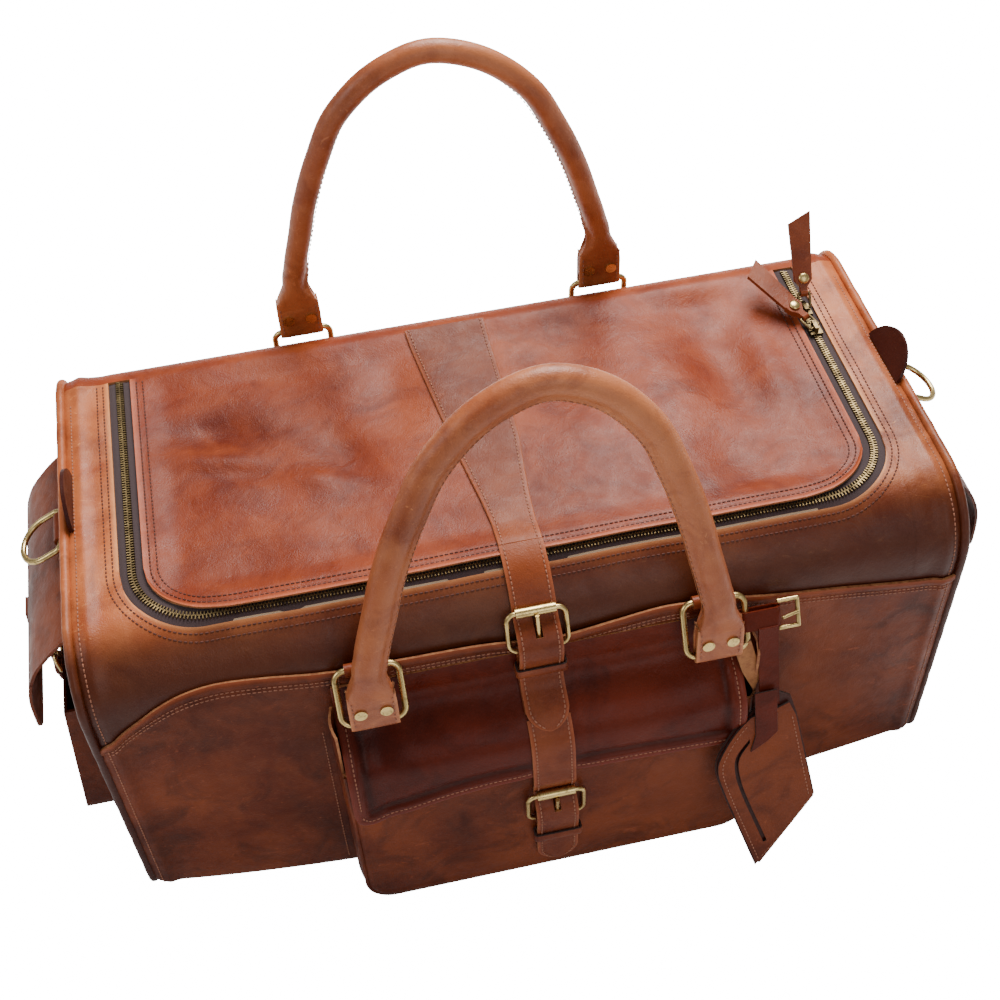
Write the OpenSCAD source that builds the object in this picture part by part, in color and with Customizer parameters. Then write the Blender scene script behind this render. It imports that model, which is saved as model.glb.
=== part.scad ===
// Weekender bag: leather travel bag with a zipped lid, strapped front pocket and two end pockets.
// Units are millimetres. X runs along the bag, -Y is the front, +Z is up. Origin: centre of the base.

/* [Bag body] */
// Length of the bag between the end seams
body_len = 600; // [500:1:700]
// Depth of the bag, front panel to back panel
body_depth = 296; // [240:1:340]
// Height of the bag, base to top
body_height = 268; // [220:1:320]
// Rounding of the front top edge
front_radius = 52; // [30:1:80]
// Rounding of the back top edge
back_radius = 33; // [20:1:60]
// Rounding of the two bottom edges
base_radius = 18; // [16:1:30]
// Thickness of the body leather
leather = 2.4; // [1.5:0.1:4]
// Thickness of the cloth lining
cloth = 0.8; // [0.4:0.1:1.5]
// Radius of the piping cord on the end seams
piping_r = 3.2; // [2:0.1:4]

/* [Lid and zip] */
// Half width of the zip path across the lid
zip_x = 256; // [220:1:270]
// Distance of the zip's front run from the middle
zip_y = 110; // [90:1:120]
// Corner radius of the zip path
zip_corner = 45; // [30:1:70]
// Distance of the lid hinge behind the middle
hinge_y = 119; // [100:1:125]
// Leather edge to zip middle
zip_gap = 8; // [5:0.5:12]
// Half width of the zip tape
tape_w = 15; // [11:0.5:18]
// Width of one row of teeth
teeth_w = 2.6; // [2:0.1:4]

/* [Straps and buckles] */
// Middle of the centre strap
strap_x = -2; // [-10:1:10]
// Width of the strap ends
strap_w = 30; // [22:1:40]
// Thickness of strap leather
strap_t = 2.4; // [1.8:0.1:4]
// Wire radius of the buckle frame
buckle_r = 1.75; // [1.2:0.05:2.5]
// Width of the buckle between side bars
buckle_w = 40; // [32:1:50]
// Heel bar to roller
buckle_h = 28.4; // [22:0.1:36]
// Outer radius of the roller
roller_r = 3.4; // [2.5:0.1:4.5]

/* [Handles] */
// Half distance between the two feet of a handle
handle_x = 117; // [90:1:140]
// Height of the handle's arch above its ring
handle_h = 222; // [160:1:260]
// Radius of the rolled handle
handle_r = 10; // [7:0.5:12]
// Wire radius of the handle rings
ring_r = 2.25; // [1.5:0.05:3]
// Bar to bar height of the handle rings
ring_h = 39; // [30:0.5:50]
// Bar to bar width of the handle rings
ring_w = 42.5; // [34:0.5:52]
// Lean of the front handle's arch from upright
front_lean = 20; // [8:1:22]
// Lean of the front handle's flat feet from upright
foot_lean = 6; // [0:1:6]
// Swing of the front ring from hanging
front_ring = 30; // [28:1:32]
// Lean of the rear ring from upright
rear_ring = 4; // [2:1:6]

/* [Pockets] */
// Half width of the front pocket
pocket_x = 145; // [110:1:170]
// Top edge of the front pocket
pocket_top = 158; // [120:1:170]
// Half width of each end pocket
end_x = 82; // [60:1:100]
// Top edge of each end pocket
end_top = 150; // [120:1:170]

/* [Hidden] */
front_y = -body_depth / 2;
arc_y = front_y + front_radius;
arc_z = body_height - front_radius;
skin_x = body_len / 2 - 4.4;
ring_y = front_y - 4.55;
ring_front_z = 234;
ring_rear_z = 222;
bar_front = [ring_y - ring_h * sin(front_ring), ring_front_z - ring_h * cos(front_ring)];
bar_rear = [-ring_y - ring_h * sin(rear_ring), ring_rear_z + ring_h * cos(rear_ring)];
neck_v = 48;
heel_top = [-155.5, 222.5];
tilt_top = 22.3;
heel_low = [-198.7, 78];
tilt_low = 0;
flap_hinge = [-184.95, 166.75];
leather_colour = [0.40, 0.19, 0.10];
dark_colour = [0.30, 0.12, 0.08];
brass_colour = [0.72, 0.62, 0.38];
tape_colour = [0.22, 0.12, 0.12];
cloth_colour = [0.62, 0.52, 0.38];

// ---- curves in the side view, where a point is [y, z] and a path runs down the front ----
function unit(v) = v / norm(v);
function curve_at(a, b, c, d, t) =
    0.5 * (2 * b + (c - a) * t + (2 * a - 5 * b + 4 * c - d) * t * t
    + (3 * b - a - 3 * c + d) * t * t * t);
function smooth(p, n) = concat(
    [for (i = [0:len(p) - 2], k = [0:n - 1])
        curve_at(p[max(i - 1, 0)], p[i], p[i + 1], p[min(i + 2, len(p) - 1)], k / n)],
    [p[len(p) - 1]]);
function side(p, i) = unit(p[min(i + 1, len(p) - 1)] - p[max(i - 1, 0)]);
function moved(p, d) = [for (i = [0:len(p) - 1]) p[i] + d * [side(p, i)[1], -side(p, i)[0]]];
function reversed(p) = [for (i = [len(p) - 1:-1:0]) p[i]];
function ribbon(p, a, b) = concat(moved(p, a), reversed(moved(p, b)));

root_path = smooth([[-151.7, 214], [-151.7, 203], [-153, 194], [-158, 186],
    [-167, 179], [-177, 172.5], [-184, 166]], 5);
flap_path = smooth([[-184.6, 165.4], [-189.5, 158], [-192, 148], [-193.4, 134], [-194.2, 119.5]], 5);
lid_tongue_path = smooth(concat(
    [for (a = [7.6:6:55]) [arc_y - (front_radius + 1.35 + a / 70) * sin(a),
        arc_z + (front_radius + 1.35 + a / 70) * cos(a)]],
    [[-140.4, 246.0], [-148.6, 236.8], [-157.0, 229.6], [-161.2, 222.5], [-161.3, 215],
    [-159.5, 207], [-158.4, 200], [-159.2, 193.5], [-163.6, 187.6], [-171, 182.6],
    [-180.8, 176], [-187.8, 169.8]]), 3);
flap_tongue_path = smooth([[-196.9, 118.9], [-195.9, 113], [-193.4, 106], [-195.2, 97],
    [-201.2, 87], [-204.4, 78], [-204.2, 70], [-203.4, 62], [-203.2, 48], [-203.6, 23]], 5);
tag_path = smooth([[-169.6, 214], [-171.6, 206], [-176.8, 190], [-185, 168], [-191, 152]], 5);

module along_x(a, b) { translate([a, 0, 0]) rotate([90, 0, 90]) linear_extrude(b - a) children(); }
module along_y(a, b) { translate([0, b, 0]) rotate([90, 0, 0]) linear_extrude(b - a) children(); }
module both() { children(); mirror([1, 0, 0]) children(); }
module rod(a, b, r) {
    d = b - a;
    translate(a) rotate([0, acos(d[2] / norm(d)), atan2(d[1], d[0])]) cylinder(h = norm(d), r = r);
}
module arc_xz(c, big, r, a, b) {
    translate([c[0], 0, c[1]]) rotate([90, 0, 0]) rotate([0, 0, a])
        rotate_extrude(angle = b - a) translate([big, 0]) circle(r);
}

// Side view of the bag, drawn in by d on every side
module outline(d) {
    h = body_depth / 2 - d;
    f = front_radius - d;
    k = back_radius - d;
    b = base_radius - d;
    difference() {
        translate([-h, d]) square([2 * h, body_height - 2 * d]);
        difference() {
            translate([-h - 1, body_height - d - f]) square([f + 1, f + 1]);
            translate([-h + f, body_height - d - f]) circle(f);
        }
        difference() {
            translate([h - k, body_height - d - k]) square([k + 1, k + 1]);
            translate([h - k, body_height - d - k]) circle(k);
        }
        difference() {
            translate([-h - 1, d - 1]) square([b + 1, b + 1]);
            translate([-h + b, d + b]) circle(b);
        }
        difference() {
            translate([h - b, d - 1]) square([b + 1, b + 1]);
            translate([h - b, d + b]) circle(b);
        }
    }
}

// A skin of the bag between two depths under its surface
module skin(a, b, x) {
    along_x(-x, x) difference() {
        outline(a);
        outline(b);
    }
}

// Plan of everything inside the zip path, grown by d
module zip_plan(d, back) {
    x = zip_x + d;
    y = -zip_y - d;
    r = zip_corner + d;
    translate([0, 0, 120]) linear_extrude(200) difference() {
        translate([-x, y]) square([2 * x, back - y]);
        for (s = [-1, 1]) difference() {
            translate([s > 0 ? x - r : -x - 1, y - 1]) square([r + 1, r + 1]);
            translate([s * (x - r), y + r]) circle(r);
        }
    }
}

module front_panel() {
    color(leather_colour) difference() {
        intersection() {
            skin(0, leather, skin_x);
            translate([-400, -200, 22]) cube([800, 200 + hinge_y, 300]);
        }
        translate([-400, 60, 0]) cube([800, 200, 200]);
        zip_plan(zip_gap, hinge_y + 1);
    }
}

module back_panel() {
    color(leather_colour) intersection() {
        skin(0, leather, skin_x);
        translate([-400, hinge_y, 22]) cube([800, 200, 300]);
    }
}

module base_panel() {
    color(dark_colour) intersection() {
        skin(0, leather, skin_x);
        translate([-400, -200, -1]) cube([800, 400, 23]);
    }
}

module end_panel() {
    color(leather_colour) along_x(body_len / 2 - 2.4, body_len / 2) intersection() {
        outline(5.6);
        translate([-200, 6.8]) square([400, 400]);
    }
}
module end_panel_left() { mirror([1, 0, 0]) end_panel(); }
module end_panel_right() { end_panel(); }

// Height of the overlay's upper edge along the bag
function yoke(x) = abs(x) < 205 ? 229 : 198 + 31 * (1 + cos(180 * (abs(x) - 205) / 92)) / 2;
module front_overlay() {
    color(dark_colour) difference() {
        intersection() {
            skin(-2.2, 0, skin_x);
            along_y(-170, -100) polygon(concat([[297, 16], [-297, 16]],
                [for (x = [-297:6:-207]) [x, yoke(x)]], [for (x = [207:6:297]) [x, yoke(x)]]));
        }
        both() translate([handle_x - 14.4, -160, 204.6]) cube([28.8, 40, 40]);
    }
}

module piping() {
    x = body_len / 2 - 1;
    h = body_depth / 2 - 0.4;
    t = body_height - 0.4;
    f = front_radius - 0.4;
    k = back_radius - 0.4;
    b = base_radius - 2;
    color(leather_colour) translate([x, 0, 0]) {
        rod([0, -h, piping_r + b], [0, -h, t - f], piping_r);
        rod([0, h, piping_r + b], [0, h, t - k], piping_r);
        rod([0, -h + f, t], [0, h - k, t], piping_r);
        rod([0, -h + b, piping_r], [0, h - b, piping_r], piping_r);
        rotate([0, 0, 90]) {
            arc_xz([-h + f, t - f], f, piping_r, 90, 180);
            arc_xz([h - k, t - k], k, piping_r, 0, 90);
            arc_xz([-h + b, piping_r + b], b, piping_r, 180, 270);
            arc_xz([h - b, piping_r + b], b, piping_r, 270, 360);
        }
    }
}
module piping_left() { mirror([1, 0, 0]) piping(); }
module piping_right() { piping(); }

module lining() {
    color(cloth_colour) difference() {
        along_x(-skin_x + 2, skin_x - 2) outline(leather + 0.3);
        along_x(-skin_x + 2 + cloth, skin_x - 2 - cloth) outline(leather + 0.3 + cloth);
        zip_plan(tape_w + 1, hinge_y);
    }
}

module base_board() {
    color([0.25, 0.22, 0.18]) translate([-278, -126, leather + 0.4 + cloth])
        cube([556, 252, 3]);
}

module zip_tape_body() {
    color(tape_colour) intersection() {
        skin(leather, leather + 0.8, skin_x);
        difference() {
            zip_plan(tape_w, hinge_y - 0.5);
            zip_plan(0.3, hinge_y + 1);
        }
    }
}

module zip_teeth_body() {
    color(brass_colour) intersection() {
        skin(0.2, leather, skin_x);
        difference() {
            zip_plan(0.3 + teeth_w, hinge_y - 1);
            zip_plan(0.3, hinge_y + 1);
        }
    }
}

module pocket_shape(d) {
    r = 22 - d;
    x = pocket_x - d;
    z = 7 + d;
    along_y(-230, -100) difference() {
        translate([-x, z]) square([2 * x, pocket_top - z]);
        for (s = [-1, 1]) difference() {
            translate([s > 0 ? x - r : -x - 1, z - 1]) square([r + 1, r + 1]);
            translate([s * (x - r), z + r]) circle(r);
        }
    }
}

module pocket_front() {
    color(dark_colour) intersection() {
        along_x(-200, 200) polygon([[-200.2, 7], [-186, 158], [-183.8, 158], [-198, 7]]);
        pocket_shape(0);
    }
}

module pocket_gusset() {
    color(dark_colour) intersection() {
        along_x(-200, 200) polygon([[-198, 7], [-183.8, 158], [-150.2, 158], [-150.2, 7]]);
        difference() {
            pocket_shape(0);
            translate([0, 0, 0.01]) pocket_shape(2);
            translate([-pocket_x + 2, -220, pocket_top - 3]) cube([2 * pocket_x - 4, 100, 10]);
        }
    }
}

module flap_root() {
    color(dark_colour) along_x(-141, 132) polygon(ribbon(root_path, -1.1, 1.1));
}

module pocket_flap() {
    color(dark_colour) intersection() {
        along_x(-141, 132) polygon(ribbon(flap_path, -1.1, 1.1));
        along_y(-220, -150) difference() {
            translate([-141, 100]) square([273, 80]);
            for (s = [-1, 1]) translate([s > 0 ? 112 : -141, 99]) difference() {
                square([20.1, 40]);
                translate([s > 0 ? 0 : 20.1, 40]) circle(20);
            }
        }
    }
}

// Loop of a strap round a bar, with the bar along X at the origin
module loop(r, t, w) {
    rotate([0, 90, 0]) difference() {
        translate([0, 0, -w / 2]) cylinder(h = w, r = r + t);
        translate([0, 0, -w]) cylinder(h = 2 * w, r = r);
    }
}

module handle_chape(y, z) {
    translate([0, y, z]) {
        loop(ring_r + 0.3, 2, 28);
        translate([-14, 2.45, 205 - z]) cube([28, 2, z - 205 - 0.2]);
    }
}
module handle_chapes() {
    color(dark_colour) both() translate([handle_x, 0, 0]) {
        handle_chape(ring_y, ring_front_z);
        mirror([0, 1, 0]) handle_chape(ring_y, ring_rear_z);
    }
}

module buckle_chapes() {
    top_tail = smooth([[-153.0, 220.3], [-153.9, 214], [-154, 205], [-155.1, 195.4],
        [-159.5, 188.4], [-168.2, 181.2], [-175.6, 176.4]], 5);
    low_tail = [[-196.2, 76], [-196.1, 66], [-197.6, 46]];
    color(leather_colour) translate([strap_x, 0, 0]) {
        difference() {
            union() {
                translate([0, heel_top[0], heel_top[1]]) loop(buckle_r + 0.3, 2, 31);
                along_x(-15.5, 15.5) polygon(ribbon(top_tail, -1, 1));
            }
            translate([-2.8, heel_top[0] - 10, 218.2]) cube([5.6, 20, 13]);
            translate([-20, heel_top[0], heel_top[1]]) rotate([0, 90, 0]) cylinder(h = 40, r = 2.05);
        }
        difference() {
            union() {
                translate([0, heel_low[0], heel_low[1]]) loop(buckle_r + 0.3, 2, 31);
                along_x(-15.5, 15.5) polygon(ribbon(low_tail, -0.9, 1));
            }
            translate([-2.8, heel_low[0] - 10, 73.7]) cube([5.6, 20, 13.5]);
            translate([-20, heel_low[0], heel_low[1]]) rotate([0, 90, 0]) cylinder(h = 40, r = 2.05);
        }
    }
}

module keeper(z, back, front) {
    translate([0, 0, z]) linear_extrude(8) difference() {
        translate([-17.6, front - 1.7]) square([35.2, back - front + 1.7]);
        translate([-15.9, front]) square([31.8, 60]);
    }
}
module keepers() {
    color(dark_colour) translate([strap_x, 0, 0]) {
        keeper(201, -153.1, -161.6);
        keeper(56, -198.6, -205.4);
    }
}

// A strap end with a pointed tip, seen from the front, from z_top down to z_tip
module tip_plan(z_top, z_tip, w) {
    along_y(-260, 0) polygon([[-w / 2, z_top], [w / 2, z_top], [w / 2, z_tip + 16],
        [w / 2 - 3, z_tip + 9], [3, z_tip + 0.6], [0, z_tip], [-3, z_tip + 0.6],
        [-w / 2 + 3, z_tip + 9], [-w / 2, z_tip + 16]]);
}

module lid_strap() {
    color(leather_colour) intersection() {
        along_x(-60, 60) difference() {
            outline(-strap_t - 0.1);
            outline(-0.1);
        }
        translate([0, 0, 200]) linear_extrude(100) polygon([[-42, hinge_y - 0.5], [-26, -20],
            [strap_x - 15, -75], [strap_x - 15, -102], [strap_x + 15, -102],
            [strap_x + 15, -75], [19, -15], [20, hinge_y - 0.5]]);
    }
}

module lid_tongue() {
    color(leather_colour) translate([strap_x, 0, 0]) difference() {
        intersection() {
            along_x(-strap_w / 2, strap_w / 2) polygon(ribbon(lid_tongue_path, -1.2, 1.2));
            tip_plan(290, 168, strap_w);
        }
        along_y(-166, -146) translate([-2.4, 222.5]) square([4.8, 23.5]);
    }
}

module flap_strap() {
    color(leather_colour) translate([strap_x, 0, 0]) difference() {
        along_x(-strap_w / 2, strap_w / 2) polygon(ribbon(flap_path, 1.2, 3.6));
        translate([-20, -190, 164.4]) cube([40, 20, 8]);
    }
}

module flap_tongue() {
    color(leather_colour) translate([strap_x, 0, 0]) difference() {
        intersection() {
            along_x(-strap_w / 2, strap_w / 2) polygon(ribbon(flap_tongue_path, -1.2, 1.2));
            tip_plan(140, 24, strap_w);
        }
        along_y(-210, -185) translate([-2.4, 76.5]) square([4.8, 25]);
        along_y(-210, -185) translate([0, 115]) circle(1.6);
    }
}

// Buckle parts, with the heel bar along X at the origin and the roller above it
module loop_of_wire(w, h, c, r) {
    rod([-w + c, 0, 0], [w - c, 0, 0], r);
    rod([-w + c, 0, h], [w - c, 0, h], r);
    both() {
        rod([w, 0, c], [w, 0, h - c], r);
        arc_xz([w - c, c], c, r, 270, 360);
        arc_xz([w - c, h - c], c, r, 0, 90);
    }
}
module buckle_frame() {
    color(brass_colour) loop_of_wire(buckle_w / 2, buckle_h, 6, buckle_r);
}
module buckle_roller() {
    color(brass_colour) translate([-13.5, 0, buckle_h]) rotate([0, 90, 0]) difference() {
        cylinder(h = 27, r = roller_r);
        translate([0, 0, -1]) cylinder(h = 29, r = buckle_r + 0.3);
    }
}
module buckle_prong() {
    color(brass_colour) difference() {
        union() {
            rotate([0, 90, 0]) translate([0, 0, -2.2]) cylinder(h = 4.4, r = 3.7);
            rod([0, -2.6, 0], [0, -roller_r - 1.9, buckle_h - 1], 1.5);
        }
        rotate([0, 90, 0]) translate([0, 0, -4]) cylinder(h = 8, r = buckle_r + 0.3);
    }
}
module at_top() { translate([strap_x, heel_top[0], heel_top[1]]) rotate([-tilt_top, 0, 0]) children(); }
module at_low() { translate([strap_x, heel_low[0], heel_low[1]]) rotate([-tilt_low, 0, 0]) children(); }
module frame_top() { at_top() buckle_frame(); }
module roller_top() { at_top() buckle_roller(); }
module prong_top() { at_top() buckle_prong(); }
module frame_low() { at_low() buckle_frame(); }
module roller_low() { at_low() buckle_roller(); }
module prong_low() { at_low() buckle_prong(); }

// ---- end pockets, drawn facing the front and turned to each end ----
module end_right() { rotate([0, 0, 90]) translate([0, -body_len / 2, 0]) children(); }
module end_left() { rotate([0, 0, -90]) translate([0, -body_len / 2, 0]) children(); }
end_root_path = smooth([[-1.3, 238], [-5, 236.6], [-14, 229.5], [-25, 218.5], [-35, 206], [-41, 194]], 5);
end_flap_path = smooth([[-41.4, 193.3], [-45, 181], [-47, 166], [-48, 138]], 5);
end_hinge = [-42.3, 194.5];
end_heel = [-40.6, 105];
end_tilt = -5;

module end_shape(d) {
    r = 18 - d;
    x = end_x - d;
    z = 12 + d;
    along_y(-60, 20) difference() {
        translate([-x, z]) square([2 * x, end_top - z]);
        for (s = [-1, 1]) difference() {
            translate([s > 0 ? x - r : -x - 1, z - 1]) square([r + 1, r + 1]);
            translate([s * (x - r), z + r]) circle(r);
        }
    }
}
module end_pocket() {
    color(dark_colour) {
        intersection() {
            along_x(-100, 100) polygon([[-45, 12], [-30, end_top], [-27.8, end_top], [-42.8, 12]]);
            end_shape(0);
        }
        intersection() {
            along_x(-100, 100) polygon([[-42.9, 12], [-27.9, end_top], [0, end_top], [0, 12]]);
            difference() {
                end_shape(0);
                end_shape(2);
                translate([-end_x + 2, -60, end_top - 3]) cube([2 * end_x - 4, 100, 10]);
            }
        }
    }
}
module end_pocket_left() { end_left() end_pocket(); }
module end_pocket_right() { end_right() end_pocket(); }

module end_root() {
    color(dark_colour) along_x(-86, 86) polygon(ribbon(end_root_path, -1.1, 1.1));
}
module end_flap_roots() {
    end_left() end_root();
    end_right() end_root();
}
module end_flap() {
    color(dark_colour) intersection() {
        along_x(-86, 86) polygon(ribbon(end_flap_path, -1.1, 1.1));
        along_y(-80, 0) difference() {
            translate([-86, 130]) square([172, 80]);
            for (s = [-1, 1]) translate([s > 0 ? 74 : -86, 129]) difference() {
                square([12.1, 21]);
                translate([s > 0 ? 0 : 12.1, 21]) circle(12);
            }
        }
    }
}
module end_flap_left() { end_left() end_flap(); }
module end_flap_right() { end_right() end_flap(); }

end_strap_path = smooth([[-48.5, 176], [-49.9, 160], [-50.6, 145], [-50.3, 134], [-46.7, 126.5],
    [-44.3, 120.3], [-44.6, 112], [-45.6, 105], [-45.5, 98], [-45.4, 84]], 5);
module end_strap() {
    color(leather_colour) difference() {
        intersection() {
            along_x(-8, 8) polygon(ribbon(end_strap_path, -0.9, 0.9));
            tip_plan(200, 84.5, 16);
        }
        along_y(-60, -30) translate([-1.6, 108]) square([3.2, 10]);
    }
}
module end_strap_left() { end_left() end_strap(); }
module end_strap_right() { end_right() end_strap(); }

// Small buckle of an end pocket: one casting of frame and prong
module end_buckle() {
    color(brass_colour) translate([0, end_heel[0], end_heel[1]]) rotate([-end_tilt, 0, 0]) {
        loop_of_wire(12, 17, 4, 1.4);
        rod([0, 0, 0], [0, 0, 17], 1.1);
    }
}
module end_buckle_left() { end_left() end_buckle(); }
module end_buckle_right() { end_right() end_buckle(); }

ring_pivot = [-5.6, 250];
module end_chape() {
    color(leather_colour) {
        translate([0, ring_pivot[0], ring_pivot[1]]) {
            loop(2.4, 2, 24);
            translate([-12, 2.5, -9]) cube([24, 1.9, 6.6]);
        }
        difference() {
            union() {
                translate([0, end_heel[0], end_heel[1]]) loop(1.7, 1.6, 14);
                along_x(-7, 7) polygon([[-38.1, 103.5], [-40.7, 80], [-39.1, 80], [-36.6, 103.5]]);
            }
            translate([-1.6, end_heel[0] - 6, end_heel[1] - 1]) cube([3.2, 12, 8]);
            translate([-20, end_heel[0], end_heel[1]]) rotate([0, 90, 0]) cylinder(h = 40, r = 1.7);
        }
    }
}
module end_chapes() {
    end_left() end_chape();
    end_right() end_chape();
}

module d_ring() {
    color(brass_colour) translate([0, ring_pivot[0], ring_pivot[1]]) rotate([-62, 0, 0]) {
        rod([-14, 0, 0], [14, 0, 0], 2.1);
        both() {
            arc_xz([14, -4], 4, 2.1, 0, 90);
            rod([18, 0, -15], [18, 0, -4], 2.1);
        }
        arc_xz([0, -15], 18, 2.1, 180, 360);
    }
}
module d_ring_left() { end_left() d_ring(); }
module d_ring_right() { end_right() d_ring(); }

module end_tab(lean) {
    color(dark_colour) translate([body_len / 2 - 6.6, 4, body_height + 1.2]) rotate([0, lean, 0])
        translate([-1.3, 0, 0]) rotate([90, 0, 90]) linear_extrude(2.6) intersection() {
            translate([0, -4]) circle(27);
            translate([-30, 0]) square([60, 30]);
        }
}
module end_tabs() { end_tab(30); mirror([1, 0, 0]) end_tab(2); }

module lid_panel() {
    color(leather_colour) intersection() {
        skin(0, leather, skin_x);
        zip_plan(-zip_gap, hinge_y - 0.3);
    }
}

module zip_tape_lid() {
    color(tape_colour) intersection() {
        skin(leather, leather + 0.8, skin_x);
        difference() {
            zip_plan(-0.3, hinge_y - 0.5);
            zip_plan(-tape_w, hinge_y + 1);
        }
    }
}

module zip_teeth_lid() {
    color(brass_colour) intersection() {
        skin(0.2, leather, skin_x);
        difference() {
            zip_plan(-0.3, hinge_y - 1);
            zip_plan(-0.3 - teeth_w, hinge_y + 1);
        }
    }
}

// Slider with its bail, drawn with the zip's middle at the origin of X and Y
module slider() {
    z = body_height;
    color(brass_colour) {
        translate([-4.6, -6, z + 0.3]) cube([9.2, 12, 1.3]);
        both() translate([3.3, -6, z - 2.0]) cube([1.3, 12, 2.4]);
        translate([0, 0, z + 1.6]) difference() {
            translate([-1.4, -4.5, -0.1]) cube([2.8, 9, 4.6]);
            translate([-3, -3, 0.5]) cube([6, 6, 2.7]);
        }
    }
}
slider_a_y = 46;
slider_b_y = 68;
module slider_a() { translate([zip_x, slider_a_y, 0]) slider(); }
module slider_b() { translate([zip_x, slider_b_y, 0]) slider(); }

// Pull parts run along +Y from the bail; the ring bar lies in the bail
module puller_ring() {
    color(brass_colour) {
        rod([-3.2, 0, 0], [3.2, 0, 0], 1);
        rod([-3.2, 11, 0], [3.2, 11, 0], 1);
        both() {
            rod([4.4, 1.2, 0], [4.4, 9.8, 0], 1);
            translate([3.2, 1.2, 0]) rotate([0, 0, -90]) rotate_extrude(angle = 90)
                translate([1.2, 0]) circle(1);
            translate([3.2, 9.8, 0]) rotate_extrude(angle = 90) translate([1.2, 0]) circle(1);
        }
    }
}
module pull() {
    color(leather_colour) translate([0, 11, 0]) difference() {
        union() {
            rotate([0, 90, 0]) translate([0, 0, -2.6]) cylinder(h = 5.2, r = 2.9);
            translate([0, 0, -2.3]) linear_extrude(4.6) polygon([[-2.6, 0], [2.6, 0],
                [2.6, 4.5], [6.4, 9.5], [6.6, 14], [-6.6, 14], [-6.4, 9.5], [-2.6, 4.5]]);
            translate([0, 0, -1.4]) linear_extrude(2.8) polygon([[-6.6, 12], [6.6, 12],
                [9, 60], [-8, 52]]);
            translate([0, 11, -3.4]) cylinder(h = 6.8, r = 3.4);
        }
        rotate([0, 90, 0]) translate([0, 0, -4]) cylinder(h = 8, r = 1.3);
    }
}
bail_z = body_height + 3.3;
module at_pull_a() { translate([zip_x, slider_a_y, bail_z]) rotate([0, 0, 30]) rotate([14, 0, 0]) children(); }
module at_pull_b() { translate([zip_x, slider_b_y, bail_z]) rotate([0, 0, -4]) rotate([52, 0, 0]) children(); }
module puller_ring_a() { at_pull_a() puller_ring(); }
module puller_ring_b() { at_pull_b() puller_ring(); }
module pull_a() { at_pull_a() pull(); }
module pull_b() { at_pull_b() pull(); }

// ---- handles and their rings ----
module ring() { loop_of_wire(ring_w / 2, ring_h, 7, ring_r); }
module rings_front() {
    color(brass_colour) for (s = [-1, 1]) translate([s * handle_x, ring_y, ring_front_z])
        rotate([-front_ring, 0, 0]) translate([0, 0, -ring_h]) ring();
}
module rings_rear() {
    color(brass_colour) for (s = [-1, 1]) translate([s * handle_x, -ring_y, ring_rear_z])
        rotate([rear_ring, 0, 0]) ring();
}

// The flat foot round the ring, up to the collar the arch leaves from
module foot() {
    translate([handle_x, 0, 0]) difference() {
        union() {
            loop(ring_r + 0.3, 2.2, 32);
            translate([-16, -4.75, 0]) cube([32, 2.2, 30]);
            translate([-16, 2.55, 0]) cube([32, 2.2, 30]);
            rod([0, 0, 26], [0, 0, neck_v], handle_r + 1.1);
            along_y(-4.75, 4.75) polygon([[-16, 24], [16, 24], [16, 29], [10.4, 44],
                [-10.4, 44], [-16, 29]]);
        }
        for (s = [-8.5, 8.5]) translate([s, 10, 14]) rotate([90, 0, 0]) cylinder(h = 20, r = 1.7);
    }
}
// Legs that lean in by leg_in and an arc that carries them over the top
leg_in = 17;
module handle(bend) {
    rise = (handle_h - neck_v) / cos(bend);
    r = (handle_x - rise * tan(leg_in)) / (cos(leg_in) + sin(leg_in) * tan(leg_in) - tan(leg_in));
    color(leather_colour) union() {
        both() foot();
        translate([0, 0, neck_v]) rotate([-bend, 0, 0]) {
            both() rod([handle_x + 4.3 * sin(leg_in), 0, -4.3 * cos(leg_in)],
                [r * cos(leg_in), 0, rise - r + r * sin(leg_in)], handle_r);
            arc_xz([0, rise - r], r, handle_r, leg_in, 180 - leg_in);
        }
    }
}

module rivets() {
    color(brass_colour) both() for (s = [-8.5, 8.5]) translate([handle_x + s, 0, 14])
        rotate([90, 0, 0]) {
            translate([0, 0, -4.8]) cylinder(h = 9.6, r = 1.6);
            translate([0, 0, 4.75]) cylinder(h = 1.3, r = 4.2);
            translate([0, 0, -6.05]) cylinder(h = 1.3, r = 4.2);
        }
}
module at_front_bar() { translate([0, bar_front[0], bar_front[1]]) rotate([-foot_lean, 0, 0]) children(); }
module at_rear_bar() { translate([0, bar_rear[0], bar_rear[1]]) children(); }
module handle_front() { at_front_bar() handle(front_lean - foot_lean); }
module handle_rear() { at_rear_bar() handle(1); }
module rivets_front() { at_front_bar() rivets(); }
module rivets_rear() { at_rear_bar() rivets(); }

// ---- luggage tag on the right front ring ----
tag_tilt = 20;
module at_ring_arm() {
    translate([handle_x + ring_w / 2, ring_y, ring_front_z]) rotate([-front_ring, 0, 0]) children();
}
module tag_strap() {
    color(leather_colour) {
        at_ring_arm() translate([0, 0, -27]) linear_extrude(14) difference() {
            union() {
                circle(4.4);
                translate([0, -4.4]) square([20, 8.8]);
                translate([20, 0]) circle(4.4);
            }
            circle(2.6);
            translate([0, -2.6]) square([20, 5.2]);
            translate([20, 0]) circle(2.6);
        }
        along_x(handle_x + ring_w / 2 + 7, handle_x + ring_w / 2 + 21)
            polygon(ribbon(tag_path, -0.9, 0.9));
    }
}
module tag_buckle() {
    color(brass_colour) at_ring_arm() translate([31.5, -0.5, -20]) {
        for (s = [-1, 1]) {
            rod([-9, 0, s * 10], [5, 0, s * 10], 1.5);
            translate([5, 0, s * 10]) sphere(1.5);
        }
        rod([5, 0, -10], [5, 0, 10], 1.5);
        rod([-8, -6.6, 0], [5, -1.2, 0], 1.1);
    }
}
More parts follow.
